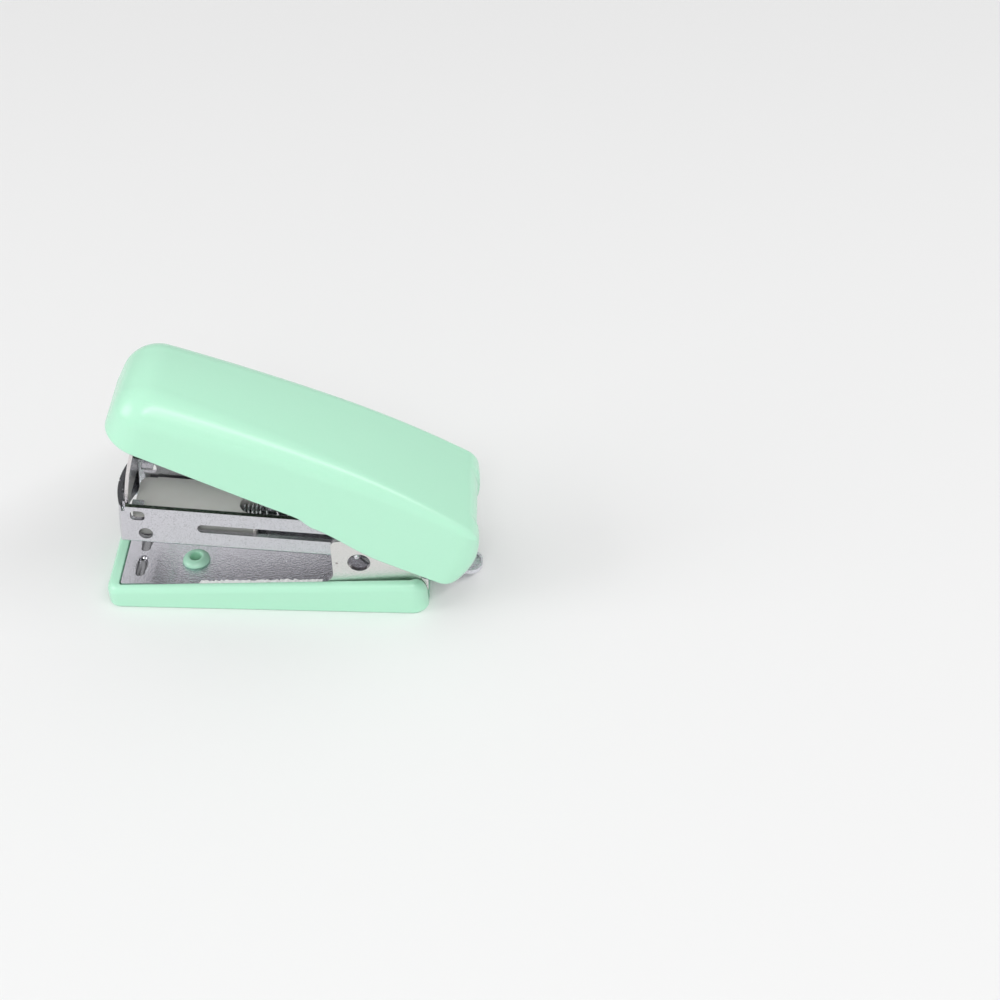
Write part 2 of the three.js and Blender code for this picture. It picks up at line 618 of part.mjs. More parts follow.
const capCrest = (x) => CAP.crest
  - (x < CAP.crestX ? CAP.fallFront : CAP.fallRear) * (x - CAP.crestX) ** 2;
const capFoot = (x) => FOOT_STEPS.reduce(
  (z, [start, length, drop]) => z - drop * smooth((x - start) / length), FOOT_FRONT);
const capHalf = (x, z) => CAP.halfFoot + CAP.taper * (x - CAP.halfFootX)
  - CAP.draft * (z - CAP.draftZ);
const capEdge = (x) => CAP.edgeFront - CAP.edgeFade * (x - CAP.edgeFrontX);

// The rear end swells below its top edge, and its middle stands a little further in.
function shapeRear([x, y, z]) {
  const reach = smooth((x - CAP.rear + 4.5) / 3.5);
  const swell = CAP.bulge * smooth((5.2 - z) / 4.5) * smooth((5.8 + z) / 6);
  const recess = CAP.recess * smooth((CAP.recessHalf - Math.abs(y)) / 0.5);
  return [x + reach * (swell - recess), y, z];
}

// The cap's section at x, drawn in by a margin, from the near foot over the top.
function capRing(x, margin, footDrop) {
  const fromFront = x - CAP.front - margin;
  const fromRear = CAP.rear - margin - x;
  const frontRadius = CAP.cornerFront - margin;
  const rearRadius = CAP.cornerRear - margin;
  const shrink = inset(fromFront, frontRadius) + inset(fromRear, rearRadius);
  const top = capCrest(x) - margin - shrink;
  const foot = capFoot(x) - footDrop
    + (footDrop > 0 ? 0 : inset(fromRear, CAP.footCorner));
  const radius = Math.max(0.3, capEdge(x) - margin - shrink);
  const shoulder = capHalf(x, top - radius) - margin - shrink;
  const footHalf = capHalf(x, foot) - margin - shrink;
  const arcSteps = 6;
  const crownSteps = 3;
  const side = [[footHalf, foot]];
  for (let i = 0; i <= arcSteps; i += 1) {
    const angle = Math.PI / 2 * i / arcSteps;
    side.push([shoulder - radius + radius * Math.cos(angle),
      top - radius + radius * Math.sin(angle)]);
  }
  const flat = shoulder - radius;
  for (let i = 1; i < crownSteps; i += 1) {
    const share = 1 - i / crownSteps;
    side.push([flat * share, top + CAP.crown * (1 - share * share)]);
  }
  const mirrored = side.map(([y, z]) => [-y, z]).reverse();
  return [...side, [0, top + CAP.crown], ...mirrored].map(([y, z]) => shapeRear([x, y, z]));
}

function capStations(front, rear, frontRadius, rearRadius) {
  const steps = 6;
  const ends = Array.from({ length: steps + 1 }, (_, i) =>
    1 - Math.cos(Math.PI / 2 * i / steps));
  const middle = [-38, -33, -28, -23.5, -19.5, -18.3, -17.4, -16.6, -15.5, -12, -8, -4, 0, 3.2];
  return [
    ...ends.map((e) => front + e * frontRadius),
    ...middle,
    ...ends.reverse().map((e) => rear - e * rearRadius),
  ];
}

function cap() {
  const { front, rear, wall, cornerFront, cornerRear } = CAP;
  const shell = loft(capStations(front, rear, cornerFront, cornerRear)
    .map((x) => capRing(x, 0, 0)));
  const hollow = loft(capStations(
    front + wall, rear - wall, cornerFront - wall, cornerRear - wall)
    .map((x) => capRing(x, wall, 6)));
  const ribs = CAP.ribs.map((x) => boxSolid(
    x - 0.5, x + 0.5, -CAP.ribHalf, CAP.ribHalf, ARM.webTop + REST_GAP, CAP.ribTop));
  const ledges = bothSides((side) => boxSolid(
    LEDGE.start, LEDGE.end, ...across(side, ARM_INNER + SIDE_GAP, LEDGE.half),
    LEDGE.bottom, LEDGE.top));
  const rearNotch = boxSolid(
    CAP.notchStart, rear + 3, -CAP.notchHalf, CAP.notchHalf, -6, CAP.notchTop);
  return union([shell.subtract(hollow).subtract(rearNotch), ...ribs, ...ledges]);
}

// ---------------------------------------------------------------- assembly

function piece(name, solid, finish) {
  const material = new THREE.MeshStandardMaterial({ ...MATERIAL[finish], name: finish });
  const mesh = new THREE.Mesh(geometryOf(solid), material);
  mesh.name = name;
  return mesh;
}

function turnedGroup(tilt) {
  const group = new THREE.Group();
  group.position.set(HINGE.x, 0, HINGE.z);
  group.rotation.y = THREE.MathUtils.degToRad(tilt);
  return group;
}

const base = new THREE.Group();
base.add(
  piece('base_tray', baseTray(), 'mint'),
  piece('base_plate', basePlate(), 'steel'),
  piece('hinge_pin', hingePin(), 'steel'),
  piece('lift_spring', liftSpring(), 'spring'),
  piece('lift_spring_rivet', springRivet(LIFT_RIVET_X, 1.65, 3.3, 3.85), 'steel'),
);

const magazine = turnedGroup(MAGAZINE_TILT);
magazine.add(
  piece('magazine_channel', magazineChannel(), 'steel'),
  piece('pusher', pusher(), 'milky'),
  piece('pusher_rod', pusherRod(), 'polished'),
  piece('pusher_spring', pusherSpring(), 'spring'),
);

const handle = turnedGroup(CAP_TILT);
handle.add(
  piece('driver_arm', driverArm(), 'steel'),
  piece('driver_blade', driverBlade(), 'polished'),
  piece('blade_rivet_left', bladeRivet(-1), 'steel'),
  piece('blade_rivet_right', bladeRivet(1), 'steel'),
  piece('return_spring', returnSpring(), 'spring'),
  piece('return_spring_rivet', springRivet(RETURN_RIVET_X, 2.2, 4.35, 4.8), 'steel'),
  piece('cap', cap(), 'mint'),
);

const stapler = new THREE.Group();
stapler.add(base, magazine, handle);

export default stapler;
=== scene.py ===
"""Looks of a pocket stapler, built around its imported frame: metres, +Z up, the mouth faces -X."""

import json
import math
import random

import bmesh
import bpy
from mathutils import Matrix, Vector


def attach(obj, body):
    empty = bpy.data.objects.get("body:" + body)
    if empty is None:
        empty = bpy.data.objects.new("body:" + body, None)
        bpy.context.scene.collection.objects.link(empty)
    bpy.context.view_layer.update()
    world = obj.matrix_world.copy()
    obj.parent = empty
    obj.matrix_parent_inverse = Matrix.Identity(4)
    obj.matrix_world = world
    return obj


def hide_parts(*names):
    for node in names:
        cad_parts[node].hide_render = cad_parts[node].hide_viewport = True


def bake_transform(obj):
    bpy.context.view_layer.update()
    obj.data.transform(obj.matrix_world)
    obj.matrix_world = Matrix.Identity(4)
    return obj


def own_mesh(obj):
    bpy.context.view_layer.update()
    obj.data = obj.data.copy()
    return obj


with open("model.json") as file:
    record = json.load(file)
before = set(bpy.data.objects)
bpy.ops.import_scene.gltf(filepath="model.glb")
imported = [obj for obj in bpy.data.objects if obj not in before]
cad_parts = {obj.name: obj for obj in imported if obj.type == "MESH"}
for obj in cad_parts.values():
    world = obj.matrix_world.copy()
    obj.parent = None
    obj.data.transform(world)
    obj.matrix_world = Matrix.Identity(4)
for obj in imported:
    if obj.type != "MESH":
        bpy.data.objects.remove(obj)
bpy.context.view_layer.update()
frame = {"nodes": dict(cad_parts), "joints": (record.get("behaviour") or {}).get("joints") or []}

# ---------------------------------------------------------------- driving sizes, in millimetres
# Shapes are made in millimetres, in the frame of the body that they belong to, and piece()
# brings them into the shared frame of the assembly at rest.

MM = 0.001
SHEET = 0.7                    # gauge of the formed steel
MAGAZINE_TILT = 6.0            # rest angles about the hinge, degrees
CAP_TILT = 27.0

EAR_OUTER = 7.35
CHANNEL_INNER, CHANNEL_OUTER = 4.95, 5.65
PIN_HOLE = 1.45

TRAY_FRONT, TRAY_REAR = -24.6, 24.2
TRAY_HALF_FRONT, TRAY_HALF_REAR = 7.75, 9.2
TRAY_CORNER_FRONT, TRAY_CORNER_REAR = 1.9, 2.4
POCKET_HALF_FRONT, POCKET_HALF_REAR = 6.68, 7.75
TRAY_FRONT_WALL, TRAY_FLOOR = 1.9, 1.5
RIM_FRONT, RIM_SLOPE = 3.8, 0.0463

BOSS_X, BOSS_COLUMN, BOSS_BORE = -12.0, 1.4, 0.85

PLATE_FRONT = -22.4
PLATE_TOP, ANVIL_TOP = 2.5, 4.0
FLANGE_START, EAR_START = -10.6, 10.0
FLANGE_TAPER_END, FLANGE_TAPER = 8.0, 0.025
TONGUE_HALF, TONGUE_END = 2.3, 32.3
ANVIL_END, GROOVE_X = -17.6, -19.8
STOP_HOLE_X, STOP_HOLE_Z, STOP_HOLE = 14.0, 9.1, 1.7

CHANNEL_FRONT, CHANNEL_REAR = -43.6, 3.3
CHANNEL_BOTTOM, CHANNEL_TOP = -6.0, 1.1
ROD_Z = -3.45
PUSHER_FRONT, PUSHER_REAR, PUSHER_NOTCH = -42.25, -24.0, -26.95

CAP_FRONT, CAP_REAR, CAP_WALL = -47.7, 7.9, 1.3
CAP_CORNER_FRONT, CAP_CORNER_REAR, CAP_FOOT_CORNER = 4.7, 3.2, 2.4

hinge = Vector(next(j["pos_m"] for j in frame["joints"] if j["name"] == "handle_hinge")) / MM


def turned(degrees):
    """The place of a body's own frame, turned up about the hinge."""
    return Matrix.Translation(hinge) @ Matrix.Rotation(math.radians(degrees), 4, "Y")


BASE = Matrix.Identity(4)
MAGAZINE = turned(MAGAZINE_TILT)
HANDLE = turned(CAP_TILT)

# ---------------------------------------------------------------- outlines and solids

ARC_STEP = math.radians(9)
PLANES = {
    "side": lambda a, b, depth: (a, depth, b),
    "plan": lambda a, b, depth: (a, b, depth),
    "section": lambda a, b, depth: (depth, a, b),
}


def rounded(corners):
    """A closed outline through (x, y) or (x, y, radius) corners, with arcs for the radii."""
    ring = []
    for i, (x, y, *radius) in enumerate(corners):
        corner = Vector((x, y))
        if not radius:
            ring.append(corner)
            continue
        back = (Vector(corners[i - 1][:2]) - corner).normalized()
        ahead = (Vector(corners[(i + 1) % len(corners)][:2]) - corner).normalized()
        half = back.angle(ahead) / 2
        centre = corner + (back + ahead).normalized() * (radius[0] / math.sin(half))
        spoke = corner + back * (radius[0] / math.tan(half)) - centre
        sweep = math.pi - 2 * half
        if back.cross(ahead) > 0:
            sweep = -sweep
        steps = max(2, round(abs(sweep) / ARC_STEP))
        for k in range(steps + 1):
            turn = Matrix.Rotation(sweep * k / steps, 2)
            ring.append(centre + turn @ spoke)
    return ring


def circle(x, y, radius):
    steps = 40
    turns = [2 * math.pi * i / steps for i in range(steps)]
    return [Vector((x + radius * math.cos(a), y + radius * math.sin(a))) for a in turns]


def box_outline(x_low, x_high, y_low, y_high, radius):
    corners = [(x_low, y_low), (x_high, y_low), (x_high, y_high), (x_low, y_high)]
    return rounded([(x, y, radius) for x, y in corners])


def mirrored(side):
    """A closed outline from the corners of its +Y side, front to rear."""
    return rounded([
        *[(x, -y, *radius) for x, y, *radius in side],
        *[(x, y, *radius) for x, y, *radius in reversed(side)],
    ])


def loft(rings, closed_ends=True):
    """A closed body through a row of rings with the same number of points."""
    body = bmesh.new()
    loops = [[body.verts.new(p) for p in ring] for ring in rings]
    for low, high in zip(loops, loops[1:]):
        for i, vertex in enumerate(low):
            j = (i + 1) % len(low)
            body.faces.new((vertex, low[j], high[j], high[i]))
    if closed_ends:
        body.faces.new(loops[0])
        body.faces.new(loops[-1])
    bmesh.ops.recalc_face_normals(body, faces=body.faces)
    return body


def prism(ring, low, high, plane):
    """An outline extruded from low to high, across one of the three PLANES."""
    place = PLANES[plane]
    return loft([[place(a, b, depth) for a, b in ring] for depth in (low, high)])


def lathe(profile, x, y):
    """A closed profile of (radius, height) points, turned about a vertical axis."""
    steps = 48
    rings = []
    for i in range(steps):
        angle = 2 * math.pi * i / steps
        cos, sin = math.cos(angle), math.sin(angle)
        rings.append([(x + r * cos, y + r * sin, h) for r, h in profile])
    body = loft([*rings, rings[0]], closed_ends=False)
    bmesh.ops.remove_doubles(body, verts=body.verts, dist=1e-5)
    bmesh.ops.recalc_face_normals(body, faces=body.faces)
    return body


def ellipsoid(centre, radii):
    body = bmesh.new()
    bmesh.ops.create_uvsphere(body, u_segments=40, v_segments=24, radius=1)
    bmesh.ops.scale(body, vec=radii, verts=body.verts)
    bmesh.ops.translate(body, vec=centre, verts=body.verts)
    return body


def as_object(body):
    mesh = bpy.data.meshes.new("workpiece")
    body.to_mesh(mesh)
    body.free()
    thing = bpy.data.objects.new("workpiece", mesh)
    bpy.context.scene.collection.objects.link(thing)
    return thing


def combine(target, operation, *tools):
    """The body target after a boolean with each of the tools, which are used up."""
    workpiece = as_object(target)
    things = [as_object(tool) for tool in tools]
    for thing in things:
        modifier = workpiece.modifiers.new("boolean", "BOOLEAN")
        modifier.operation = operation
        modifier.solver = "EXACT"
        modifier.object = thing
    evaluated = workpiece.evaluated_get(bpy.context.evaluated_depsgraph_get())
    mesh = bpy.data.meshes.new_from_object(evaluated)
    result = bmesh.new()
    result.from_mesh(mesh)
    bpy.data.meshes.remove(mesh)
    for thing in [workpiece, *things]:
        data = thing.data
        bpy.data.objects.remove(thing)
        bpy.data.meshes.remove(data)
    return result


def soften(body, width, segments=2):
    """Merges flat faces, then rounds the sharp edges."""
    bmesh.ops.remove_doubles(body, verts=body.verts, dist=1e-4)
    bmesh.ops.dissolve_limit(
        body, angle_limit=math.radians(0.2), verts=body.verts, edges=body.edges)
    sharp = [
        edge for edge in body.edges
        if edge.is_manifold and edge.calc_face_angle() > math.radians(32)
    ]
    bmesh.ops.bevel(
        body, geom=sharp, offset=width, offset_type="OFFSET", segments=segments,
        profile=0.5, affect="EDGES", clamp_overlap=True)
    return body


def mark_sides(body, reach):
    """Gives the faces that are further out than this along Y the piece's second material."""
    for face in body.faces:
        if abs(face.calc_center_median().y) > reach:
            face.material_index = 1


def piece(name, body, place, rides_on, replaced, materials):
    """Turns a body in millimetres into a shown piece that stands for CAD nodes.

    A face's material index picks one of the materials; the first is the main one.
    A piece that bends between two bodies rides on None.
    """
    body.transform(Matrix.Scale(MM, 4) @ place)
    mesh = bpy.data.meshes.new(name)
    body.to_mesh(mesh)
    body.free()
    mesh.shade_smooth()
    mesh.set_sharp_from_angle(angle=math.radians(38))
    for material in materials:
        mesh.materials.append(material)
    thing = bpy.data.objects.new(name, mesh)
    bpy.context.scene.collection.objects.link(thing)
    even = thing.modifiers.new("even_normals", "WEIGHTED_NORMAL")
    even.keep_sharp = True
    even.weight = 60
    if rides_on:
        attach(thing, rides_on)
    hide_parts(*replaced)
    return thing


# ---------------------------------------------------------------- materials


class Shader:
    """A node material with a Principled surface."""

    def __init__(self, name, **values):
        self.material = bpy.data.materials.new(name)
        self.material.use_nodes = True
        self.tree = self.material.node_tree
        self.surface = self.tree.nodes["Principled BSDF"]
        for socket, value in values.items():
            self.surface.inputs[socket.replace("_", " ")].default_value = value
        self.place = self.node("ShaderNodeTexCoord").outputs["Object"]

    def node(self, kind, settings=None, **inputs):
        made = self.tree.nodes.new(kind)
        for key, value in (settings or {}).items():
            setattr(made, key, value)
        for socket, value in inputs.items():
            target = made.inputs[socket.replace("_", " ")]
            if isinstance(value, bpy.types.NodeSocket):
                self.tree.links.new(value, target)
            else:
                target.default_value = value
        return made

    def noise(self, size_mm, detail=3.0, roughness=0.55, stretch=(1, 1, 1)):
        """Noise from 0 to 1 whose features are about this many millimetres wide."""
        place = self.node("ShaderNodeMapping", Vector=self.place, Scale=stretch)
        made = self.node(
            "ShaderNodeTexNoise", Vector=place.outputs[0],
            Scale=1 / (size_mm * MM), Detail=detail, Roughness=roughness)
        return made.outputs["Fac"]

    def scaled(self, factor, low, high, from_low=0.3, from_high=0.7):
        made = self.node("ShaderNodeMapRange", Value=factor)
        for socket, value in (("From Min", from_low), ("From Max", from_high),
                              ("To Min", low), ("To Max", high)):
            made.inputs[socket].default_value = value
        return made.outputs[0]

    def blend(self, factor, low, high):
        made = self.node("ShaderNodeMix", {"data_type": "RGBA"})
        self.tree.links.new(factor, made.inputs["Factor"])
        for socket, value in (("A", low), ("B", high)):
            colour = next(s for s in made.inputs if s.name == socket and s.type == "RGBA")
            colour.default_value = value
        return next(s for s in made.outputs if s.type == "RGBA")

    def bump(self, layers):
        """Bumps of (height, strength, depth in millimetres), one over the other."""
        normal = None
        for height, strength, depth in layers:
            made = self.node(
                "ShaderNodeBump", Height=height, Strength=strength, Distance=depth * MM)
            if normal:
                self.tree.links.new(normal, made.inputs["Normal"])
            normal = made.outputs["Normal"]
        self.drive("Normal", normal)

    def drive(self, socket, output):
        self.tree.links.new(output, self.surface.inputs[socket])


def mint_plastic():
    """Satin moulded plastic with a fine grain in its skin and its colour."""
    shader = Shader("mint_plastic", IOR=1.5, Subsurface_Weight=0.12, Subsurface_Scale=0.0012,
                    Subsurface_Radius=(0.7, 1.0, 0.85))
    fleck = shader.noise(0.35, detail=4.0, roughness=0.7)
    shader.drive("Base Color", shader.blend(
        shader.scaled(fleck, 0.0, 1.0), (0.474, 0.838, 0.630, 1), (0.482, 0.845, 0.637, 1)))
    grain = shader.noise(0.12, detail=2.0)
    shader.drive("Roughness", shader.scaled(fleck, 0.24, 0.27))
    shader.bump([(grain, 0.02, 0.006)])
    return shader.material


def plated_steel(name, tone, dull, shiny, rolled=0.15, leathery=0.25):
    """Bright plated sheet: fine specks, a leathery skin, rolling marks and faint stains."""
    shader = Shader(name, Metallic=1.0)
    stain = shader.noise(2.2, detail=4.0)
    skin = shader.noise(0.32, detail=3.0, roughness=0.6)
    speck = shader.noise(0.16, detail=3.0, roughness=0.7)
    rolling = shader.noise(0.3, detail=3.0, stretch=(0.12, 1.0, 1.0))
    light = (*tone, 1)
    dark = (*[0.6 * t for t in tone], 1)
    shader.drive("Base Color", shader.blend(
        shader.scaled(speck, 1.0, 0.0, 0.36, 0.46), light, dark))
    shader.drive("Roughness", shader.scaled(stain, shiny, dull))
    shader.bump([(rolling, rolled, 0.02), (skin, leathery, 0.2), (speck, 0.5, 0.03)])
    return shader.material


def edge_painted_light(name, metallic, dark, light):
    """A sheet edge with a torn mottle, whose two colours are painted light on it rather than the
    steel's own tone.
    """
    shader = Shader(name, Metallic=metallic)
    tear = shader.noise(0.25, detail=3.0)
    shader.drive("Base Color", shader.blend(
        shader.scaled(tear, 0.0, 1.0, 0.4, 0.6), (*dark, 1), (*light, 1)))
    shader.drive("Roughness", shader.scaled(tear, 0.35, 0.6))
    shader.bump([(tear, 0.4, 0.05)])
    return shader.material


def polished_steel():
    """Hard steel with fine grinding marks along its length; its tone is kept dark as painted shade,
    for the blade and rod that sit in shade inside the channel.
    """
    shader = Shader("polished_steel", Metallic=1.0)
    marks = shader.noise(0.25, detail=3.0, stretch=(1.0, 1.0, 0.08))
    shader.drive("Base Color", shader.blend(
        shader.scaled(marks, 0.0, 1.0), (0.26, 0.26, 0.27, 1), (0.38, 0.38, 0.39, 1)))
    shader.drive("Roughness", shader.scaled(marks, 0.13, 0.22))
    shader.bump([(marks, 0.1, 0.01)])
    return shader.material


def milky_plastic(name, dark, light):
    """Cloudy translucent plastic of the pusher."""
    shader = Shader(name, IOR=1.49, Subsurface_Weight=0.15, Subsurface_Scale=0.0015,
                    Subsurface_Radius=(1.0, 1.0, 0.9))
    cloud = shader.noise(3.0)
    shader.drive("Base Color", shader.blend(
        shader.scaled(cloud, 0.0, 1.0), (*dark, 1), (*light, 1)))
    shader.drive("Roughness", shader.scaled(shader.noise(0.8), 0.42, 0.55))
    shader.bump([(shader.noise(0.15), 0.08, 0.01)])
    return shader.material


MINT = mint_plastic()
STEEL = plated_steel("plated_steel", (0.68, 0.67, 0.715), dull=0.25, shiny=0.15)
ANVIL_STEEL = plated_steel("anvil_steel", (0.92, 0.91, 0.98), dull=0.22, shiny=0.14,
                           rolled=0.03, leathery=0.6)
SPRING = plated_steel("spring_steel", (0.58, 0.58, 0.60), dull=0.30, shiny=0.18)
RIVET = plated_steel("rivet_steel", (0.55, 0.55, 0.56), dull=0.38, shiny=0.24)
# painted shade: a darker steel for the anvil's troughs, which look dark only because of the shade
# in them
GROOVE_SHADE = plated_steel("groove_shade_steel", (0.42, 0.42, 0.44), dull=0.10, shiny=0.05,
                      rolled=0.05, leathery=0.05)
EAR_STEEL = plated_steel("ear_steel", (0.78, 0.745, 0.745), dull=0.25, shiny=0.15)
# painted shade: a near-black steel for faces that look dark only because they lie in shade, under
# the channel, in its dimples, behind its front wall and on the driver arm
SHADE_STEEL = plated_steel("painted_shade_steel", (0.13, 0.13, 0.14), dull=0.34, shiny=0.22)
# painted highlight: the torn flange edge is a white non-metal that stands in for the glint of light
# along it
TORN_GLINT = edge_painted_light("torn_edge_glint", 0.0, (0.86, 0.86, 0.86), (1.0, 1.0, 1.0))
# painted reflection: a dark green that stands in for the cap's shaded underside mirrored in the
# channel's cut top edges
CUT_EDGE_REFLECTION = edge_painted_light("edge_painted_light", 1.0, (0.03, 0.04, 0.03), (0.14, 0.17, 0.14))
POLISHED_SHADE = polished_steel()
MILKY = milky_plastic("milky_plastic", (0.95, 0.91, 0.88), (0.99, 0.96, 0.93))
# painted shade: a dark copy of the milky plastic for the pusher's sides, which lie in shade behind
# the channel's walls
SIDE_SHADE_PLASTIC = milky_plastic("painted_shade_plastic", (0.36, 0.37, 0.35), (0.44, 0.45, 0.43))

# ---------------------------------------------------------------- cap

CREST_X, CREST_Z = -18.0, 8.65
CREST_FALL_FRONT, CREST_FALL_REAR = 0.0016, 0.0035
FOOT_Z = -1.4
FOOT_STEPS = ((0.25, -45.0, 22.0), (0.75, -18.7, 3.2), (1.3, -15.5, 11.0))  # drop, start, length
CAP_HALF, CAP_FLARE, CAP_LEAN = 9.45, 0.0175, 0.085    # at x -42 and z -3, per mm of x and of z
CAP_EDGE, CAP_EDGE_TAPER = 5.0, 0.0785                 # at x -43, per mm of x
LIP = 0.4                      # rounding of the cap's lower edge
CROWN = 0.25
RECESS, BULGE = 0.45, 1.0      # the rear end's shape
SIDE_STEPS, ARC_STEPS, CROWN_STEPS = 8, 14, 16


def inset(distance, radius):
    """How far a quarter round of this radius has fallen back at a distance from its end."""
    left = max(0.0, radius - max(0.0, distance))
    return radius - math.sqrt(max(0.0, radius * radius - left * left))


def smooth(t):
    t = min(1.0, max(0.0, t))
    return t * t * (3 - 2 * t)


def cap_crest(x):
    """The height of the cap's top edge, which falls off on both sides of its crest."""
    fall = CREST_FALL_FRONT if x < CREST_X else CREST_FALL_REAR
    return CREST_Z - fall * (x - CREST_X) ** 2


def cap_foot(x):
    """The height of the cap's lower edge, which drops in soft steps towards the rear."""
    height = FOOT_Z
    for drop, start, length in FOOT_STEPS:
        height -= drop * smooth((x - start) / length)
    return height


def cap_half(x, z):
    """Half the cap's width: it grows towards the rear, and the sides lean in upwards."""
    return CAP_HALF + CAP_FLARE * (x + 42) - CAP_LEAN * (z + 3)


def cap_edge(x):
    """The radius of the long upper edges, which gets smaller towards the rear."""
    return CAP_EDGE - CAP_EDGE_TAPER * (x + 43)


def cap_ring(x, margin):
    """The cap's section at x, drawn in by a margin, from the near foot over the top."""
    from_front = x - CAP_FRONT - margin
    from_rear = CAP_REAR - margin - x
    shrink = inset(from_front, CAP_CORNER_FRONT - margin)
    shrink += inset(from_rear, CAP_CORNER_REAR - margin)
    top = cap_crest(x) - margin - shrink
    foot = cap_foot(x) + inset(from_rear, CAP_FOOT_CORNER) + LIP
    radius = max(0.3, cap_edge(x) - margin - shrink)
    shoulder = cap_half(x, top - radius) - margin - shrink
    foot_half = cap_half(x, foot) - margin - shrink
    side = []
    for i in range(SIDE_STEPS):
        share = i / SIDE_STEPS
        side.append((foot_half + (shoulder - foot_half) * share,
                     foot + (top - radius - foot) * share))
    for i in range(ARC_STEPS + 1):
        angle = math.pi / 2 * i / ARC_STEPS
        side.append((shoulder - radius + radius * math.cos(angle),
                     top - radius + radius * math.sin(angle)))
    flat = shoulder - radius
    for i in range(1, CROWN_STEPS + 1):
        share = 1 - i / CROWN_STEPS
        side.append((flat * share, top + CROWN * (1 - share * share)))
    near = [Vector((x, -y, z)) for y, z in side]
    far = [Vector((x, y, z)) for y, z in side[-2::-1]]
    return near + far


def cap_stations(margin):
    """Places along the cap, close together round its two ends."""
    front, rear = CAP_FRONT + margin, CAP_REAR - margin
    front_radius, rear_radius = CAP_CORNER_FRONT - margin, CAP_CORNER_REAR - margin
    ends, middle = 12, 56
    turns = [1 - math.cos(math.pi / 2 * i / ends) for i in range(ends)]
    start, stop = front + front_radius, rear - rear_radius
    return [
        *[front + t * front_radius for t in turns],
        *[start + (stop - start) * i / middle for i in range(middle + 1)],
        *[rear - t * rear_radius for t in reversed(turns)],
    ]


def end_face(ring):
    """Rows of points that close the cap's end inside its last section."""
    corner = SIDE_STEPS + ARC_STEPS
    crown = ring[corner:len(ring) - corner]
    rows = []
    for i in range(corner + 1):
        rise = i / corner
        rows.append([
            Vector((ring[i].x, ring[i].y * p.y / crown[0].y, ring[i].z + (p.z - crown[0].z) * rise))
            for p in crown
        ])
    return rows


def add_grid(body, rows):
    loops = [[body.verts.new(p) for p in row] for row in rows]
    for low, high in zip(loops, loops[1:]):
        for i in range(len(low) - 1):
            body.faces.new((low[i], low[i + 1], high[i + 1], high[i]))


def shape_rear(point):
    """The rear end swells below its top edge, and its middle stands a little further in."""
    reach = smooth((point.x - CAP_REAR + 4.5) / 3.5)
    point.x += BULGE * reach * smooth((5.2 - point.z) / 4.5) * smooth((5.8 + point.z) / 6)
    point.x -= RECESS * reach * smooth((5.7 - abs(point.y)) / 0.5)


def cap_surface(body, margin):
    """Adds one skin of the cap and returns the loop of its open lower edge."""
    rings = [cap_ring(x, margin) for x in cap_stations(margin)]
    front, rear = end_face(rings[0]), end_face(rings[-1])
    for row in rings + rear:
        for point in row:
            shape_rear(point)
    for rows in (rings, front, rear):
        add_grid(body, rows)
    near = [ring[0] for ring in rings]
    far = [ring[-1] for ring in reversed(rings)]
    return near + rear[0][1:-1] + far + front[0][-2:0:-1]


def cap_lip(outer, inner):
    """Loops that round the lower edge from the outer skin to the inner one."""
    quarter = [math.pi / 2 * i / 4 for i in range(5)]
    loops = []
    for angle in quarter:
        loops.append([
            o + (n - o).normalized() * LIP * (1 - math.cos(angle))
            - Vector((0, 0, LIP * math.sin(angle))) for o, n in zip(outer, inner)
        ])
    for angle in reversed(quarter):
        loops.append([
            n + (o - n).normalized() * LIP * (1 - math.cos(angle))
            - Vector((0, 0, LIP * math.sin(angle))) for o, n in zip(outer, inner)
        ])
    return loops


def make_cap():
    body = bmesh.new()
    outer = cap_surface(body, 0.0)
    inner = cap_surface(body, CAP_WALL)
    lip = cap_lip(outer, inner)
    add_grid(body, [loop + loop[:1] for loop in lip])
    bmesh.ops.remove_doubles(body, verts=body.verts, dist=1e-4)
    bmesh.ops.recalc_face_normals(body, faces=body.faces)
    rib_places, rib_half, rib_foot, rib_top = (-34.5, -9.5), 5.2, 4.4, 7.6
    ribs = [
        prism(box_outline(x - 0.5, x + 0.5, -rib_half, rib_half, 0.2), rib_foot, rib_top, "plan")
        for x in rib_places
    ]
    ledge_front, ledge_rear, ledge_inner, ledge_outer = -30, -24.5, 6.05, 8.6
    ledges = [
        prism(box_outline(ledge_front, ledge_rear,
                          *sorted((side * ledge_inner, side * ledge_outer)), 0.15),
              -1.25, -0.65, "plan")
        for side in (1, -1)
    ]
    body = combine(body, "UNION", *ribs, *ledges)
    notch_half, notch_top = 4.7, 4.4
    notch = prism(box_outline(-notch_half, notch_half, -8, notch_top, 0.9), 4, 10, "section")
    body = combine(body, "DIFFERENCE", notch)
    return piece("cap_shell", body, HANDLE, "handle", ["cap"], [MINT])


# ---------------------------------------------------------------- base tray


def rim_height(x):
    return RIM_FRONT + RIM_SLOPE * (x - TRAY_FRONT) - inset(TRAY_REAR - x, TRAY_CORNER_REAR)


def four_corners(front, rear, half_front, half_rear, front_radius, rear_radius):
    """A tapered outline with four round corners, anticlockwise from the rear near one."""
    steps = 12
    ring = []
    corners = (
        (rear, -half_rear, rear_radius, -90), (rear, half_rear, rear_radius, 0),
        (front, half_front, front_radius, 90), (front, -half_front, front_radius, 180),
    )
    for x, y, radius, start in corners:
        centre_x = x - math.copysign(radius, x)
        centre_y = y - math.copysign(radius, y)
        for i in range(steps + 1):
            angle = math.radians(start + 90 * i / steps)
            ring.append((centre_x + radius * math.cos(angle), centre_y + radius * math.sin(angle)))
    return ring


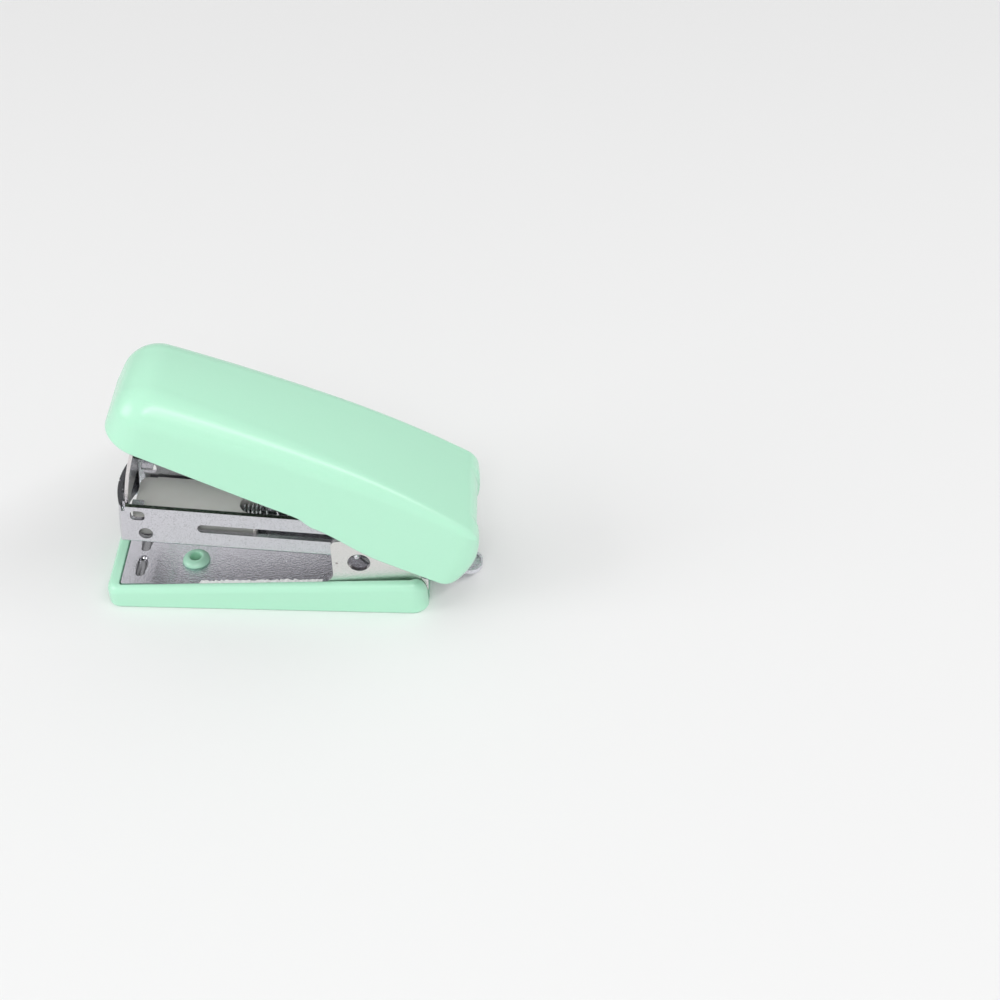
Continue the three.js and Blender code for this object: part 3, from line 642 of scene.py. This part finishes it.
def tray_ring(margin):
    front, rear = TRAY_FRONT + margin, TRAY_REAR - margin
    return four_corners(
        front, rear, TRAY_HALF_FRONT - margin, TRAY_HALF_REAR - margin,
        TRAY_CORNER_FRONT - 0.6 * margin, TRAY_CORNER_REAR - 0.6 * margin)


def pocket_ring(margin):
    """The hollow's outline: a thicker wall in front, an even one along the sides."""
    front, rear = TRAY_FRONT + TRAY_FRONT_WALL + margin, TRAY_REAR - 1.0 - margin
    return four_corners(
        front, rear, POCKET_HALF_FRONT - margin, POCKET_HALF_REAR - margin, 0.6, 2.0)


def level(ring, z):
    return [(x, y, z) for x, y in ring]


def below_rim(ring, drop):
    return [(x, y, rim_height(x) - drop) for x, y in ring]


def tray_walls():
    """The tray from its foot over the rim down to the hollow's floor, as one closed loft."""
    edge, edge_height, foot, lip, root = 0.98, 1.3, 0.45, 0.14, 0.5
    quarter = [math.pi / 2 * i / 6 for i in range(7)]
    return loft([
        *[level(tray_ring(foot * (1 - math.sin(a))), foot * (1 - math.cos(a))) for a in quarter],
        *[below_rim(tray_ring(edge * (1 - math.cos(a))), edge_height * (1 - math.sin(a)))
          for a in quarter],
        *[below_rim(pocket_ring(-lip * (1 - math.sin(a))), lip * (1 - math.cos(a)))
          for a in quarter],
        *[level(pocket_ring(root * (1 - math.cos(a))), TRAY_FLOOR + root * (1 - math.sin(a)))
          for a in quarter],
    ])


def make_boss_head():
    """The boss on the tray's floor: a hollow column with a domed head on the plate."""
    top = PLATE_TOP + 0.06
    dome = [(2.0, 0), (2.1, 0.1), (2.07, 0.28), (1.95, 0.46), (1.75, 0.65), (1.5, 0.82),
            (1.25, 0.92), (1.08, 0.92), (0.94, 0.83), (0.87, 0.68)]
    head = [
        (BOSS_BORE, TRAY_FLOOR - 0.6), (BOSS_COLUMN, TRAY_FLOOR - 0.6), (BOSS_COLUMN, top),
        *[(radius, top + rise) for radius, rise in dome],
    ]
    return lathe(head, BOSS_X, 0)


def make_tray():
    rear_slots = [
        prism(box_outline(TRAY_REAR - 2.6, TRAY_REAR + 2, -half, half, 0.3), floor, 12, "plan")
        for half, floor in ((7.5, TRAY_FLOOR), (POCKET_HALF_REAR, 4.2))
    ]
    body = combine(tray_walls(), "DIFFERENCE", *rear_slots)
    bore = prism(circle(BOSS_X, 0, BOSS_BORE), TRAY_FLOOR - 0.7, TRAY_FLOOR + 1, "plan")
    body = combine(combine(body, "DIFFERENCE", bore), "UNION", make_boss_head())
    rest_front, rest_half, rest_top = -21.8, 5.4, 3.0
    rest = prism(box_outline(rest_front, ANVIL_END, -rest_half, rest_half, 0.3),
                 TRAY_FLOOR - 0.2, rest_top, "plan")
    body = combine(body, "UNION", rest)
    return piece("tray_shell", body, BASE, "base", ["base_tray"], [MINT])


# ---------------------------------------------------------------- base plate


def flange_top(x):
    return RIM_FRONT - 0.25 + RIM_SLOPE * (x - TRAY_FRONT)


def ear_outline(dice):
    """The side view of the ears with the low flange, whose top edge is torn and burred."""
    lobe = PIN_HOLE + 1.7
    bottom = PLATE_TOP - SHEET - 0.2
    burrs = []
    steps, burr_low, burr_high = 60, -0.22, 0.18
    start, end = FLANGE_TAPER_END, FLANGE_START + 0.5
    for i in range(steps + 1):
        x = start + (end - start) * i / steps
        burrs.append((x, flange_top(x) + dice.uniform(burr_low, burr_high)))
    return rounded([
        (FLANGE_START, bottom), (22.6, bottom), (24.2, 3.6, 0.4), (24.2, 5.5, 0.5),
        (22.9, 6.1, 0.5), (22.9, 8.4, 1.5), (hinge.x + lobe, 10.6, 1.0),
        (hinge.x + lobe, hinge.z + lobe, 2.6), (hinge.x - lobe - 1, hinge.z + lobe, 2.2),
        (16.5, 14.0, 3.0), (EAR_START, 13.2, 0.9), (EAR_START, flange_top(EAR_START), 1.9),
        *burrs, (FLANGE_START, flange_top(FLANGE_START) - 0.5),
    ])


def u_section(x):
    """The plate's bent section at x, as one closed ring."""
    half = EAR_OUTER - FLANGE_TAPER * max(0.0, FLANGE_TAPER_END - x)
    bottom, top, bend = PLATE_TOP - SHEET, 20.0, 1.35
    outer = rounded([(half, top), (-half, top), (-half, bottom, bend), (half, bottom, bend)])
    inner_half, inner_bend = half - SHEET, bend - SHEET
    inner = rounded([
        (-inner_half, top), (inner_half, top),
        (inner_half, PLATE_TOP, inner_bend), (-inner_half, PLATE_TOP, inner_bend)])
    ring = [*outer[1:], outer[0], *inner[1:], inner[0]]
    return [(x, y, z) for y, z in ring]


def anvil_groove(side):
    """The trough that turns one leg of a staple."""
    z, radius, inner, outer = ANVIL_TOP + 0.12, 0.74, 1.15, 4.3
    trough = prism(circle(GROOVE_X, z, radius), *sorted((side * inner, side * outer)), "side")
    ends = [ellipsoid((GROOVE_X, side * y, z), (radius, radius, radius)) for y in (inner, outer)]
    return combine(trough, "UNION", *ends)


def mark_plate(body):
    """Gives the torn edge a painted highlight, the grooves painted shade, and the ears their own
    material.
    """
    torn_glint, groove_shade, ear = 1, 2, 3
    for face in body.faces:
        middle = face.calc_center_median()
        on_edge = abs(middle.z - flange_top(middle.x)) < 0.22 and abs(middle.y) > 5
        # painted highlight along the torn flange edge
        if on_edge and FLANGE_START < middle.x < FLANGE_TAPER_END + 0.2:
            face.material_index = torn_glint
        # painted shade inside the anvil's troughs
        under_top = 0.05 < ANVIL_TOP - middle.z < 0.66
        if under_top and abs(middle.x - GROOVE_X) < 0.9 and abs(middle.y) < 5.2:
            face.material_index = groove_shade
        if abs(middle.y) > 6 and middle.z > 5.6:
            face.material_index = ear


def make_plate():
    body = loft([u_section(x) for x in (-12, FLANGE_TAPER_END, 26)])
    body = combine(body, "INTERSECT", prism(ear_outline(random.Random(7)), -12, 12, "side"))
    sheet = prism(rounded([
        (PLATE_FRONT - 1, ANVIL_TOP - SHEET), (ANVIL_END, ANVIL_TOP - SHEET, 1.2),
        (-14.8, PLATE_TOP - SHEET, 1.8), (TONGUE_END + 1, PLATE_TOP - SHEET),
        (TONGUE_END + 1, PLATE_TOP), (-14.7, PLATE_TOP, 1.2),
        (ANVIL_END + 0.1, ANVIL_TOP, 1.8), (PLATE_FRONT - 1, ANVIL_TOP)]), -10, 10, "side")
    plan = mirrored([
        (PLATE_FRONT, 6.6, 0.4), (FLANGE_START - 0.2, 6.62, 0.5), (FLANGE_START + 0.4, 5.6, 0.6),
        (FLANGE_TAPER_END, 6.0), (23.0, 6.0), (23.4, TONGUE_HALF, 0.8),
        (TONGUE_END, TONGUE_HALF, 2.0)])
    sheet = combine(sheet, "INTERSECT", prism(plan, 0, 6, "plan"))
    body = combine(body, "UNION", sheet)
    grooves = [anvil_groove(side) for side in (1, -1)]
    grooves += [ellipsoid((GROOVE_X, side * 2.7, ANVIL_TOP + 0.25), (1.9, 3.3, 0.35))
                for side in (1, -1)]
    tongue_dish = ellipsoid((TONGUE_END - 1.9, 0, PLATE_TOP + 0.15), (1.75, 1.8, 0.45))
    holes = [
        prism(circle(BOSS_X, 0, BOSS_COLUMN + 0.25), 0, 6, "plan"),
        prism(circle(hinge.x, hinge.z, PIN_HOLE), -12, 12, "side"),
        prism(circle(STOP_HOLE_X, STOP_HOLE_Z, STOP_HOLE), -12, 12, "side"),
    ]
    ear_dimples = [ellipsoid((EAR_START + 0.7, side * EAR_OUTER, 9.0), (0.2, 0.3, 0.2))
                   for side in (1, -1)]
    body = combine(body, "DIFFERENCE", *grooves, tongue_dish, *holes, *ear_dimples)
    body = soften(body, 0.07)
    mark_plate(body)
    return piece("plate_sheet", body, BASE, "base", ["base_plate"],
                 [ANVIL_STEEL, TORN_GLINT, GROOVE_SHADE, EAR_STEEL])


# ---------------------------------------------------------------- magazine

WINDOW_BOTTOM, WINDOW_TOP = -1.375, 0.375
SLOT_BOTTOM, SLOT_TOP = -2.925, -1.375
LUG_DROP = 4.95                # degrees from the stop hole's middle down to the lug


def bowed_outline(half, front, bend):
    """A channel's outline in plan, with its front bowed out between two bent corners."""
    bulge = 1.1
    radius = (half * half + bulge ** 2) / (2 * bulge)
    centre = front - bulge + radius
    reach = math.asin((half - bend) / radius)
    steps = 20
    bow = []
    for i in range(steps + 1):
        angle = math.pi - reach + 2 * reach * i / steps
        bow.append((centre + radius * math.cos(angle), radius * math.sin(angle)))
    front_corner = front + 0.1
    return rounded([
        (20, half), (front_corner, half, bend), *bow,
        (front_corner, -half, bend), (20, -half),
    ])


def bowed_block(half, front, floor, bend, top):
    """A solid with the channel's cross section, rounded below, and its bowed front."""
    plan = prism(bowed_outline(half, front, bend), floor, top, "plan")
    section = prism(rounded([
        (-half, floor, bend), (half, floor, bend), (half, top + 1), (-half, top + 1)]),
        -60, 30, "section")
    return combine(plan, "INTERSECT", section)


def folded_sheet():
    """The channel's sheet with its rear wall, before anything is punched."""
    block_top = CHANNEL_TOP + 6
    block = bowed_block(CHANNEL_OUTER, CHANNEL_FRONT, CHANNEL_BOTTOM, 0.7, block_top)
    hollow = bowed_block(
        CHANNEL_INNER, CHANNEL_FRONT + SHEET, CHANNEL_BOTTOM + SHEET, 0.15, block_top + 1)
    ear_top = 2.6
    side = prism(rounded([
        (-50, CHANNEL_BOTTOM - 1), (CHANNEL_REAR - 1.4, CHANNEL_BOTTOM - 1, 0.3),
        (CHANNEL_REAR, CHANNEL_BOTTOM + 1.6, 1.0), (CHANNEL_REAR, ear_top, 2.3),
        (-5.0, ear_top, 2.2), (-8.4, CHANNEL_TOP, 2.5), (-50, CHANNEL_TOP)]), -12, 12, "side")
    body = combine(combine(block, "DIFFERENCE", hollow), "INTERSECT", side)
    wall_half, wall_top = 5.2, -1.7
    rear_wall = prism(box_outline(-wall_half, wall_half, CHANNEL_BOTTOM + 1.3, wall_top, 0.3),
                      CHANNEL_REAR - SHEET, CHANNEL_REAR, "section")
    tabs = [
        prism(box_outline(-42.1, -40.4, WINDOW_TOP, WINDOW_TOP + 0.4, 0.1),
              *sorted((s * (CHANNEL_INNER - 1.4), s * (CHANNEL_INNER + 0.2))), "side")
        for s in (1, -1)
    ]
    return combine(body, "UNION", rear_wall, *tabs)


def lug_place():
    """Where the stop lugs sit, in the lower part of the ears' stop holes."""
    along, up = hinge.x - STOP_HOLE_X, hinge.z - STOP_HOLE_Z
    angle = math.radians(MAGAZINE_TILT + math.degrees(math.atan2(up, along)) - LUG_DROP)
    reach = math.hypot(along, up)
    return -reach * math.cos(angle), -reach * math.sin(angle)


def stop_lug(side):
    """A pip pressed out of the channel's side, which stays clear of the channel's inside."""
    lug_x, lug_z = lug_place()
    pip = ellipsoid((lug_x, side * (CHANNEL_OUTER - 0.1), lug_z), (0.8, 1.75, 0.8))
    inside = prism(box_outline(-20, 10, -20, 20, 1),
                   -CHANNEL_INNER - 0.1, CHANNEL_INNER + 0.1, "side")
    return combine(pip, "DIFFERENCE", inside)


def channel_openings():
    """Dimples, slot, windows and holes, then the mouth, the front wall's seam and its notches."""
    lug_x, lug_z = lug_place()
    mouth_half = CHANNEL_INNER - 0.2
    return [
        *[ellipsoid((lug_x, s * (CHANNEL_OUTER + 0.05), lug_z), (2.5, 0.2, 2.5))
          for s in (1, -1)],
        prism(box_outline(-32.5, -11.0, SLOT_BOTTOM, SLOT_TOP, 0.76), -9, 9, "side"),
        prism(box_outline(-42.2, -40.1, WINDOW_BOTTOM, WINDOW_TOP, 0.6), -9, 9, "side"),
        prism(circle(-40.05, -3.9, 1.05), -9, 9, "side"),
        prism(circle(0, 0, PIN_HOLE), -9, 9, "side"),
        prism(circle(0, ROD_Z, 0.85), CHANNEL_REAR - 2, CHANNEL_REAR + 1, "section"),
        prism(box_outline(-46, -41.9, -mouth_half, mouth_half, 0.1),
              CHANNEL_BOTTOM - 1, CHANNEL_BOTTOM + SHEET + 0.1, "plan"),
        prism(box_outline(-47, -42.6, -0.12, 0.12, 0.05), -8, 3, "plan"),
        *[prism(box_outline(-43.5, -42.9, *sorted((s * 4.5, s * 6.5)), 0.1), 0.2, 3, "plan")
          for s in (1, -1)],
    ]


def mark_channel(body):
    """Gives the cut top edges a dark green painted reflection, and paints shade on the underside,
    on the dimples round the lugs and on the front wall's inner faces.
    """
    cut_reflection, painted_shade = 1, 2
    lug_x, lug_z = lug_place()
    for face in body.faces:
        middle = face.calc_center_median()
        near_lug = math.hypot(middle.x - lug_x, middle.z - lug_z) < 2.4
        in_dimple = near_lug and 0.005 < CHANNEL_OUTER - abs(middle.y) < 0.2
        on_top = abs(middle.z - CHANNEL_TOP) < 0.1
        behind_front = middle.x < CHANNEL_FRONT + 1.4 and (face.normal.x > 0.35 or on_top)
        # painted reflection of the cap's shaded underside on the cut top edges
        if on_top and abs(middle.y) > CHANNEL_INNER - 0.1:
            face.material_index = cut_reflection
        # painted shade on the dimples seen through the stop holes, on the front wall's inner faces
        # and on the underside, which the plate mirrors
        elif in_dimple or behind_front or middle.z < CHANNEL_BOTTOM + 0.02:
            face.material_index = painted_shade


def make_channel():
    body = combine(folded_sheet(), "DIFFERENCE", *channel_openings())
    body = soften(combine(body, "UNION", stop_lug(1), stop_lug(-1)), 0.07)
    mark_channel(body)
    return piece("channel_sheet", body, MAGAZINE, "magazine", ["magazine_channel"],
                 [STEEL, CUT_EDGE_REFLECTION, SHADE_STEEL])


def make_pusher():
    """A block that rides on the rod; its rear is notched for the spring, its nose is lower."""
    front, rear, half, notch_half = PUSHER_FRONT, PUSHER_REAR, 4.6, 1.9
    bottom, top = -5.0, -1.75
    plan = mirrored([
        (front, half, 1.3), (rear, half, 0.6), (rear, notch_half, 0.6),
        (PUSHER_NOTCH, notch_half, 1.85)])
    body = prism(plan, bottom, top, "plan")
    bore = prism(circle(0, ROD_Z, 1.0), front - 1, rear + 1, "section")
    nose = prism(box_outline(front - 1, front + 2.4, -6, 6, 0.1), top - 0.2, 0, "plan")
    body = soften(combine(body, "DIFFERENCE", bore, nose), 0.2, segments=3)
    # the pusher's sides get the dark copy as painted shade
    mark_sides(body, half - 0.02)
    return piece("pusher_block", body, MAGAZINE, "pusher", ["pusher"], [MILKY, SIDE_SHADE_PLASTIC])


def make_coil():
    """The pusher's spring, close wound at its two ends."""
    seat_gap = 0.525
    front, rear = PUSHER_NOTCH + 0.05 + seat_gap, CHANNEL_REAR - SHEET - seat_gap
    radius, wire, turns, steps, closed = 1.25, 0.2, 24, 24, 5
    line = bpy.data.curves.new("coil", "CURVE")
    line.dimensions = "3D"
    line.bevel_depth = wire
    line.bevel_resolution = 3
    line.use_fill_caps = True
    course = line.splines.new("POLY")
    count = turns * steps
    course.points.add(count)
    tight = 0.6
    open_pitch = (rear - front - 2 * closed * tight) / (turns - 2 * closed)
    x = front
    for i, point in enumerate(course.points):
        angle = 2 * math.pi * i / steps
        point.co = (x, radius * math.cos(angle), ROD_Z + radius * math.sin(angle), 1)
        at_end = min(i, count - 1 - i) < closed * steps
        x += (tight if at_end else open_pitch) / steps
    thing = bpy.data.objects.new("coil", line)
    body = bmesh.new()
    body.from_mesh(thing.to_mesh())
    bmesh.ops.remove_doubles(body, verts=body.verts, dist=1e-4)
    bpy.data.objects.remove(thing)
    bpy.data.curves.remove(line)
    coil = piece("coil_spring", body, MAGAZINE, "magazine", ["pusher_spring"],
                 [SPRING])
    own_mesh(coil)
    return coil


# ---------------------------------------------------------------- blade


def make_blade():
    """A strip that bends about the hinge, so that it slides down the channel's front."""
    radius, thickness, half, tip, head = 42.9, 0.5, 4.15, -20.6, 3.2
    steps = 40
    turns = [math.radians(tip + (head - tip) * i / steps) for i in range(steps + 1)]
    rear_side, front_side = radius - thickness / 2, radius + thickness / 2
    ring = [(-rear_side * math.cos(a), rear_side * math.sin(a)) for a in turns]
    ring += [(-front_side * math.cos(a), front_side * math.sin(a)) for a in reversed(turns)]
    body = prism(ring, -half, half, "side")
    rivet_y, rivet_z, rivet_hole = 2.2, 0.8, 0.8
    holes = [
        prism(circle(s * rivet_y, rivet_z, rivet_hole), -radius - 2, -radius + 2, "section")
        for s in (1, -1)
    ]
    body = soften(combine(body, "DIFFERENCE", *holes), 0.06)
    mark_sides(body, half - 0.07)
    return piece("blade_strip", body, HANDLE, "handle", ["driver_blade"],
                 [POLISHED_SHADE, EAR_STEEL])


# ---------------------------------------------------------------- leaf springs

LEAF_GAUGE, LEAF_HOLE = 0.35, 1.05
LIFT_LEAF_HALF, LIFT_RIVET_X = 3.2, 20.0
RETURN_LEAF_END, RETURN_LEAF_STEM, RETURN_RIVET_X = 5.4, 3.4, -22.8


def spline(points):
    """Places and directions along a smooth line through the points."""
    steps = 8
    places = [Vector(p) for p in points]
    ends = [2 * places[0] - places[1], *places, 2 * places[-1] - places[-2]]
    line = []
    for a, b, c, d in zip(ends, ends[1:], ends[2:], ends[3:]):
        for i in range(steps):
            t = i / steps
            place = 0.5 * (2 * b + t * (c - a) + t * t * (2 * a - 5 * b + 4 * c - d)
                           + t ** 3 * (3 * b - a - 3 * c + d))
            along = 0.5 * (c - a + 2 * t * (2 * a - 5 * b + 4 * c - d)
                           + 3 * t * t * (3 * b - a - 3 * c + d))
            line.append((place, along.normalized()))
    line.append((places[-1], (places[-1] - places[-2]).normalized()))
    return line


def leaf(points, plan, rivet_x):
    """A strip of spring steel along a side view, cut to a plan, with its rivet's hole."""
    line = spline(points)
    offsets = [Vector((-along.y, along.x)) * LEAF_GAUGE / 2 for _, along in line]
    upper = [place + offset for (place, _), offset in zip(line, offsets)]
    lower = [place - offset for (place, _), offset in zip(line, offsets)]
    strip = prism(lower + upper[::-1], -8, 8, "side")
    strip = combine(strip, "INTERSECT", prism(plan, -10, 20, "plan"))
    hole = prism(circle(rivet_x, 0, LEAF_HOLE), -10, 20, "plan")
    return combine(strip, "DIFFERENCE", hole)


def make_lift_spring():
    """It stays riveted to the plate, and is shown in its rest shape."""
    points = [(21.9, 3.0), (19.6, 3.0), (17.6, 3.1), (15.2, 4.6), (12.6, 7.2), (11.0, 7.85),
              (9.9, 7.6)]
    plan = box_outline(9.0, 23.0, -LIFT_LEAF_HALF, LIFT_LEAF_HALF, 0.9)
    spring = piece("lift_leaf", leaf(points, plan, LIFT_RIVET_X), BASE, None,
                   ["lift_spring"], [SPRING])
    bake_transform(spring)


def make_return_spring():
    """Its waisted stem is riveted to the arm, and its wide end presses on the magazine."""
    points = [(-24.4, 3.0), (-21.6, 3.0), (-18.6, 2.5), (-15.2, 0.1), (-12.4, -1.25),
              (-11.2, -1.1)]
    end, stem = RETURN_LEAF_END, RETURN_LEAF_STEM
    plan = mirrored([
        (-25.0, stem, 0.9), (-14.2, stem, 0.9), (-13.2, end, 0.6), (-10.5, end, 0.8)])
    piece("return_leaf", leaf(points, plan, RETURN_RIVET_X), HANDLE, "handle",
          ["return_spring"], [SPRING])


# ---------------------------------------------------------------- inner pieces kept from CAD


def finish_cad_node(name, material):
    """Gives a carried-over node clean flats, softened edges and its own material."""
    thing = frame["nodes"][name]
    thing.data.materials.clear()
    thing.data.materials.append(material)
    merge = thing.modifiers.new("merge", "WELD")
    merge.merge_threshold = 1e-6
    flats = thing.modifiers.new("flats", "DECIMATE")
    flats.decimate_type = "DISSOLVE"
    flats.angle_limit = math.radians(0.5)
    edges = thing.modifiers.new("edges", "BEVEL")
    edges.width = 0.08 * MM
    edges.segments = 2
    edges.limit_method = "ANGLE"
    edges.angle_limit = math.radians(40)
    even = thing.modifiers.new("even_normals", "WEIGHTED_NORMAL")
    even.keep_sharp = True


# ---------------------------------------------------------------- studio

FLOOR_SIZE = 6.0               # metres, like the places and sizes of the lamps
HAZE_TOP = 0.5                 # the sine of the height at which the tent is at its brightest
AIM = (0, 0, 0.01)


def make_floor():
    bpy.ops.mesh.primitive_plane_add(size=FLOOR_SIZE)
    floor = bpy.context.object
    floor.name = "studio_floor"
    shader = Shader("studio_paper", Roughness=0.9, Base_Color=(0.85, 0.85, 0.85, 1))
    shader.bump([(shader.noise(4.0), 0.02, 0.1)])
    floor.data.materials.append(shader.material)


def add_softbox(name, place, aim, size, power):
    light = bpy.data.lights.new(name, "AREA")
    light.shape = "RECTANGLE"
    light.size, light.size_y = size
    light.energy = power
    thing = bpy.data.objects.new(name, light)
    thing.location = place
    thing.rotation_euler = (Vector(aim) - Vector(place)).to_track_quat("-Z", "Y").to_euler()
    bpy.context.scene.collection.objects.link(thing)


def make_world(strength, horizon):
    """A white tent all round, dimmer where its walls meet the table."""
    world = bpy.data.worlds.new("studio")
    world.use_nodes = True
    tree = world.node_tree
    background = tree.nodes["Background"]
    background.inputs["Color"].default_value = (1, 1, 1, 1)
    place = tree.nodes.new("ShaderNodeTexCoord")
    axes = tree.nodes.new("ShaderNodeSeparateXYZ")
    rise = tree.nodes.new("ShaderNodeMapRange")
    rise.inputs["From Max"].default_value = HAZE_TOP
    rise.inputs["To Min"].default_value = horizon
    rise.inputs["To Max"].default_value = strength
    tree.links.new(place.outputs["Generated"], axes.inputs[0])
    tree.links.new(axes.outputs["Z"], rise.inputs["Value"])
    tree.links.new(rise.outputs[0], background.inputs["Strength"])
    bpy.context.scene.world = world


def make_camera():
    """A camera above the table, square on to the stapler's side."""
    elevation, distance = math.radians(42), 254.895 * MM
    target = Vector((34.966 * MM, 16.684 * MM, 0))
    camera = bpy.data.cameras.new("camera")
    camera.sensor_width = 36
    camera.lens = 55.975
    camera.clip_start, camera.clip_end = 0.005, 20
    thing = bpy.data.objects.new("camera", camera)
    thing.location = target + distance * Vector((0, -math.cos(elevation), math.sin(elevation)))
    thing.rotation_euler = (math.pi / 2 - elevation, 0, 0)
    bpy.context.scene.collection.objects.link(thing)
    bpy.context.scene.camera = thing


make_camera()
make_floor()
make_world(0.61, 0.37)
add_softbox("key", (-0.70, -0.20, 0.38), (0, 0, 0.02), (0.40, 0.40), 1.8)
add_softbox("fill", (0.035, -0.73, 0.67), AIM, (0.50, 0.30), 0.9)
add_softbox("strip", (0.40, -0.42, 0.85), AIM, (1.6, 0.06), 5.0)
add_softbox("low_strip", (-0.1, -1.0, 0.17), AIM, (0.8, 0.03), 0.35)
bpy.context.scene.view_settings.view_transform = "Standard"

make_cap()
make_tray()
make_plate()
make_channel()
make_pusher()
make_coil()
make_blade()
make_lift_spring()
make_return_spring()
for node in ("hinge_pin", "lift_spring_rivet", "blade_rivet_left", "blade_rivet_right",
             "return_spring_rivet"):
    finish_cad_node(node, RIVET)
# painted shade: the driver arm gets the near-black steel because it sits in shade inside the cap
finish_cad_node("driver_arm", SHADE_STEEL)
finish_cad_node("pusher_rod", POLISHED_SHADE)
